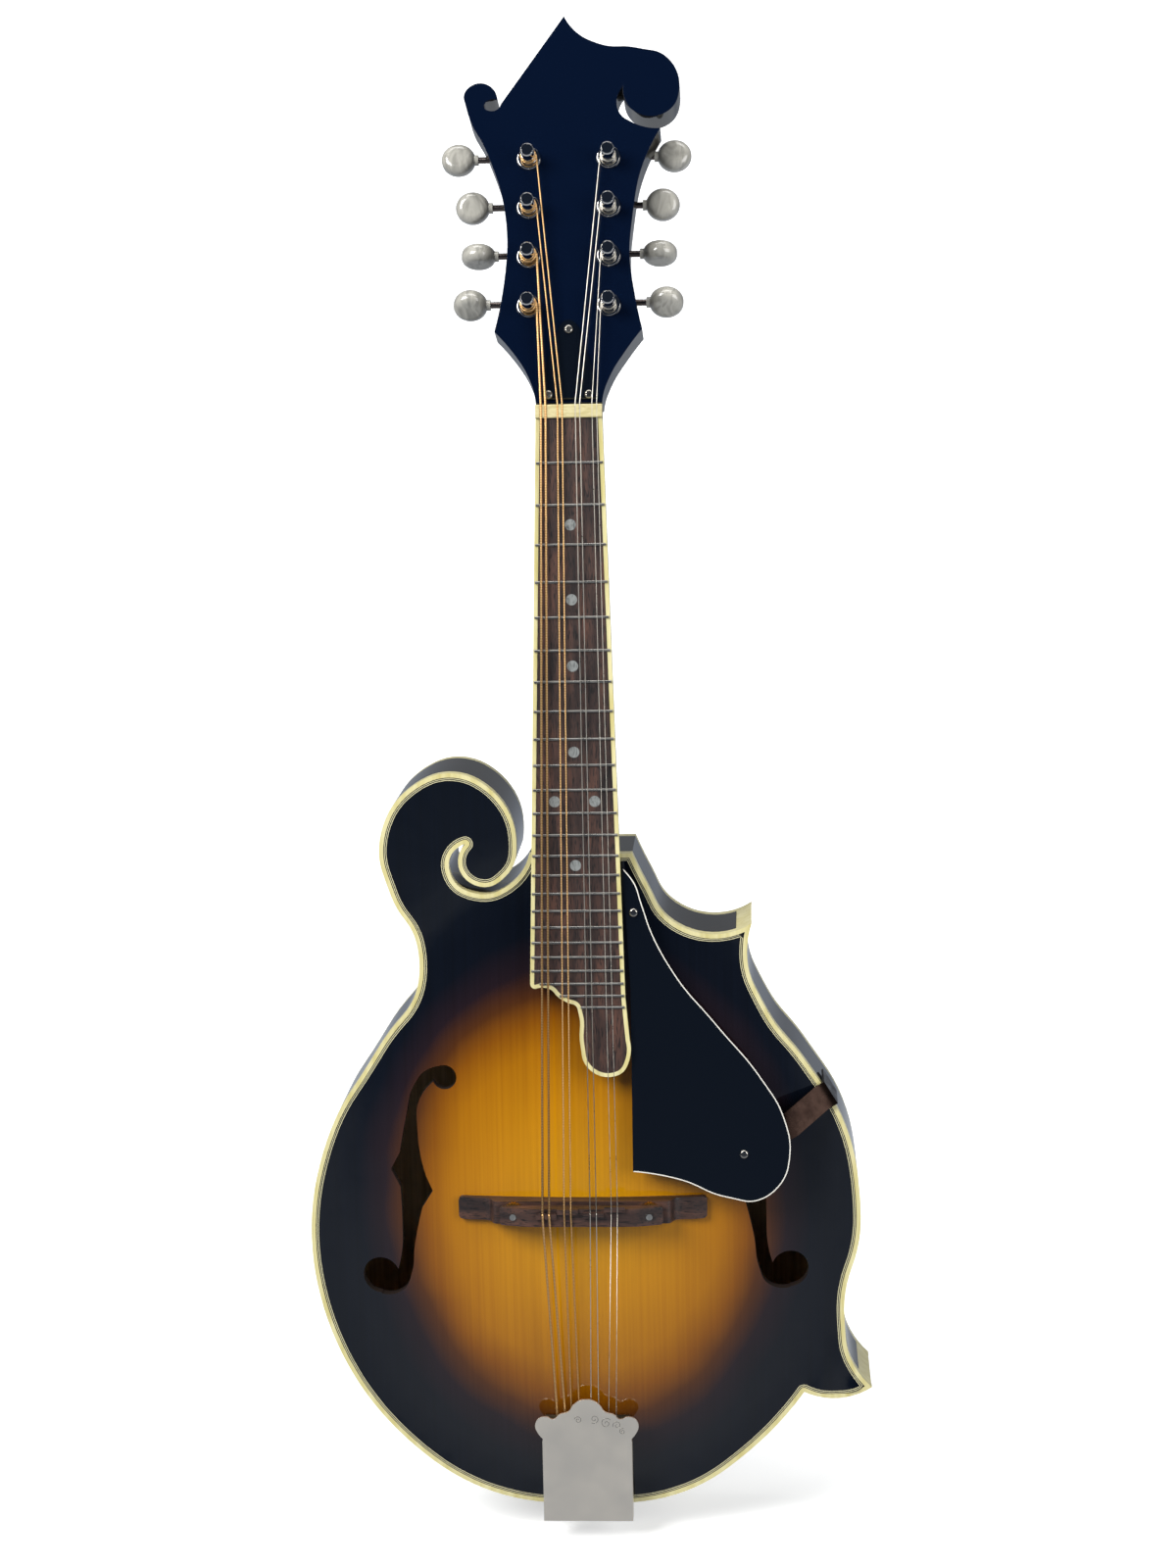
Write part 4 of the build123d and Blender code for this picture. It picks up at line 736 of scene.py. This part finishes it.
class MANDOLIN_OT_pickguard(bpy.types.Operator):
    """Black pickguard with a white core line at its edge, on a polished bracket"""
    bl_idname = "mandolin.pickguard"
    bl_label = "Pickguard"

    def execute(self, context):
        black = black_gloss("moulded_black", "#080d15", 0.06, 0.0003)
        white = new_finish("white_core", "#dedbd0", 0.4)[0]
        plate = piece_of("pickguard", "pickguard_plate", black, white, angle=40)
        self.show_core(plate)
        piece_of("pickguard_bracket", "guard_strip", plated("polished_steel", "#261c18", 0.3),
                 angle=50, edge=0.0003)
        return {"FINISHED"}

    def show_core(self, plate):
        """Cuts the front edge back to the white core, but not along the straight edges."""
        core, straight = 0.5 * MM, 10 * MM    # width cut back; a longer side than this is straight
        take(plate)
        bpy.ops.object.mode_set(mode="EDIT")
        bpy.ops.mesh.select_mode(type="FACE")
        bpy.ops.mesh.select_all(action="DESELECT")
        bpy.ops.object.mode_set(mode="OBJECT")
        for face in plate.data.polygons:
            face.select = face.normal.y < -0.5
            face.material_index = int(face.select)
        bpy.ops.object.mode_set(mode="EDIT")
        bpy.ops.mesh.inset(thickness=core, use_boundary=True)
        bpy.ops.object.mode_set(mode="OBJECT")
        for face in plate.data.polygons:
            if face.select or face.area > core * straight:
                face.material_index = 0


class MANDOLIN_OT_screws(bpy.types.Operator):
    """Small slotted screws of the rod cover, tuners, tailpiece and pickguard"""
    bl_idname = "mandolin.screws"
    bl_label = "Screws"

    def execute(self, context):
        piece_of("small_screws", "slotted_screws", plated("screw_steel", "#9c9890", 0.2), angle=45)
        return {"FINISHED"}


# ------------------------------------------------------------------ studio
def area_light(name, place, aim, size, power, colour="#ffffff"):
    """A soft rectangular light that faces a point."""
    light = bpy.data.lights.new(name, "AREA")
    light.shape = "RECTANGLE"
    light.size, light.size_y = size
    light.energy = power
    light.color = linear(colour)[:3]
    lamp = bpy.data.objects.new(name, light)
    lamp.location = place
    lamp.rotation_euler = (Vector(aim) - Vector(place)).to_track_quat("-Z", "Y").to_euler()
    bpy.context.scene.collection.objects.link(lamp)
    return lamp


CAMERA_PLACE = Vector((0.0819, -1.3636, 0.5974))
CAMERA_AHEAD = Vector((-0.05586, 0.98289, -0.17550))
CAMERA_UP = Vector((0.00987, 0.17631, 0.98428))


class MANDOLIN_OT_studio(bpy.types.Operator):
    """Pale floor that sweeps up behind, soft lights and the camera"""
    bl_idname = "mandolin.studio"
    bl_label = "Studio"

    def execute(self, context):
        scene = context.scene
        deselect()
        bpy.ops.mesh.primitive_plane_add(size=1, location=(0, 0, 0))
        sweep = context.object
        sweep.name = sweep.data.name = "floor"
        sweep.data.transform(Matrix.Diagonal((9.0, 6.0, 1.0, 1.0)))
        sweep.data.transform(Matrix.Translation((0, -1.2, -0.0004)))
        take(sweep)
        bpy.ops.object.mode_set(mode="EDIT")
        mesh = bmesh.from_edit_mesh(sweep.data)
        for edge in mesh.edges:
            edge.select = all(corner.co.y > 1.7 for corner in edge.verts)
        mesh.select_flush(True)
        bmesh.update_edit_mesh(sweep.data)
        bpy.ops.mesh.extrude_region_move(TRANSFORM_OT_translate={"value": (0, 0, 4.5)})
        bpy.ops.mesh.select_all(action="SELECT")
        bpy.ops.mesh.normals_make_consistent(inside=False)
        bpy.ops.object.mode_set(mode="OBJECT")
        bend = sweep.modifiers.new("bend", "BEVEL")
        bend.width, bend.segments = 0.9, 16
        apply_all(sweep)
        bpy.ops.object.shade_smooth()
        paper, tree, shader = new_finish("studio_paper", "#f4f4f2", 0.9)
        shader.inputs["Base Color"].default_value = (*scene.mandolin_colours.floor, 1)
        shader.inputs["Specular IOR Level"].default_value = 0.0
        shader.inputs["Emission Color"].default_value = (1, 1, 1, 1)
        shader.inputs["Emission Strength"].default_value = 0.5
        sweep.data.materials.append(paper)
        # The paper is white to the eye and casts no haze on the black lacquer.
        sweep.visible_glossy = sweep.visible_diffuse = False

        world = bpy.data.worlds.new("studio_air")
        scene.world = world
        world.use_nodes = True
        # The room is dim and bluish in front of the face and bright behind, as with a lit backdrop.
        tree = world.node_tree
        way = add_node(tree, "ShaderNodeTexCoord")
        parts = add_node(tree, "ShaderNodeSeparateXYZ", {0: way.outputs["Generated"]})
        depth = add_node(tree, "ShaderNodeMapRange", {0: parts.outputs["Y"], 1: -1.0, 2: 1.0})
        room = add_node(tree, "ShaderNodeValToRGB", {0: depth.outputs[0]},
                        stops=[(0.0, "#1f2a3c"), (0.22, "#2c3442"), (0.5, "#7b7f86"), (1.0, "#8f9296")])
        height = add_node(tree, "ShaderNodeMapRange", {0: parts.outputs["Z"], 1: -0.6, 2: 0.2})
        ground = add_node(tree, "ShaderNodeValToRGB", {0: height.outputs[0]},
                          stops=[(0.0, "#c4c8ce"), (0.35, "#aaafb6"), (0.55, "#566070"),
                                 (0.8, "#1a212c"), (1.0, "#05070a")])
        both = add_node(tree, "ShaderNodeMix", {0: 1.0, 6: room.outputs[0], 7: ground.outputs[0]},
                        data_type="RGBA", blend_type="ADD")
        tree.links.new(both.outputs[2], tree.nodes["Background"].inputs["Color"])
        tree.nodes["Background"].inputs["Strength"].default_value = 0.8

        aim = (0.0, 0.0, 0.3)
        area_light("key", (-1.3, -1.5, 1.7), aim, (1.2, 1.2), 72)
        area_light("fill", (1.5, -1.4, 0.9), aim, (1.2, 1.6), 30)
        area_light("top", (0.0, -0.2, 2.2), aim, (1.6, 0.8), 20)

        scene.view_settings.view_transform = "Standard"
        lens = bpy.data.cameras.new("camera")
        lens.lens, lens.sensor_width, lens.sensor_fit = 69.57, 36.0, "AUTO"
        lens.clip_start, lens.clip_end = 0.05, 30.0
        camera = bpy.data.objects.new("camera", lens)
        ahead = CAMERA_AHEAD.normalized()
        across = ahead.cross(CAMERA_UP).normalized()
        axes = Matrix((across, across.cross(ahead), -ahead)).transposed().to_4x4()
        camera.matrix_world = Matrix.Translation(CAMERA_PLACE) @ axes
        scene.collection.objects.link(camera)
        scene.camera = camera
        return {"FINISHED"}


# ------------------------------------------------------------------ panel and run
STEPS = (MANDOLIN_OT_soundboard, MANDOLIN_OT_back_and_sides, MANDOLIN_OT_bindings,
         MANDOLIN_OT_inner_frame, MANDOLIN_OT_fretboard, MANDOLIN_OT_headstock, MANDOLIN_OT_tuners,
         MANDOLIN_OT_strings, MANDOLIN_OT_bridge, MANDOLIN_OT_tailpiece, MANDOLIN_OT_pickguard,
         MANDOLIN_OT_screws, MANDOLIN_OT_studio)


class MANDOLIN_PT_panel(bpy.types.Panel):
    """Lists the settings and the steps"""
    bl_idname = "MANDOLIN_PT_panel"
    bl_label = "Mandolin"
    bl_space_type = "VIEW_3D"
    bl_region_type = "UI"
    bl_category = "Mandolin"

    def draw(self, context):
        for group in (context.scene.mandolin_colours, context.scene.mandolin_sizes):
            for name in group.__annotations__:
                self.layout.prop(group, name)
        for step in STEPS:
            self.layout.operator(step.bl_idname)


CLASSES = (MandolinColours, MandolinSizes, *STEPS, MANDOLIN_PT_panel)


def register():
    for cls in CLASSES:
        bpy.utils.register_class(cls)
    bpy.types.Scene.mandolin_colours = bpy.props.PointerProperty(type=MandolinColours)
    bpy.types.Scene.mandolin_sizes = bpy.props.PointerProperty(type=MandolinSizes)


def unregister():
    del bpy.types.Scene.mandolin_sizes
    del bpy.types.Scene.mandolin_colours
    for cls in reversed(CLASSES):
        bpy.utils.unregister_class(cls)


def main():
    register()
    for step in STEPS:
        group, name = step.bl_idname.split(".")
        getattr(getattr(bpy.ops, group), name)()
    deselect()


if __name__ == "__main__":
    main()
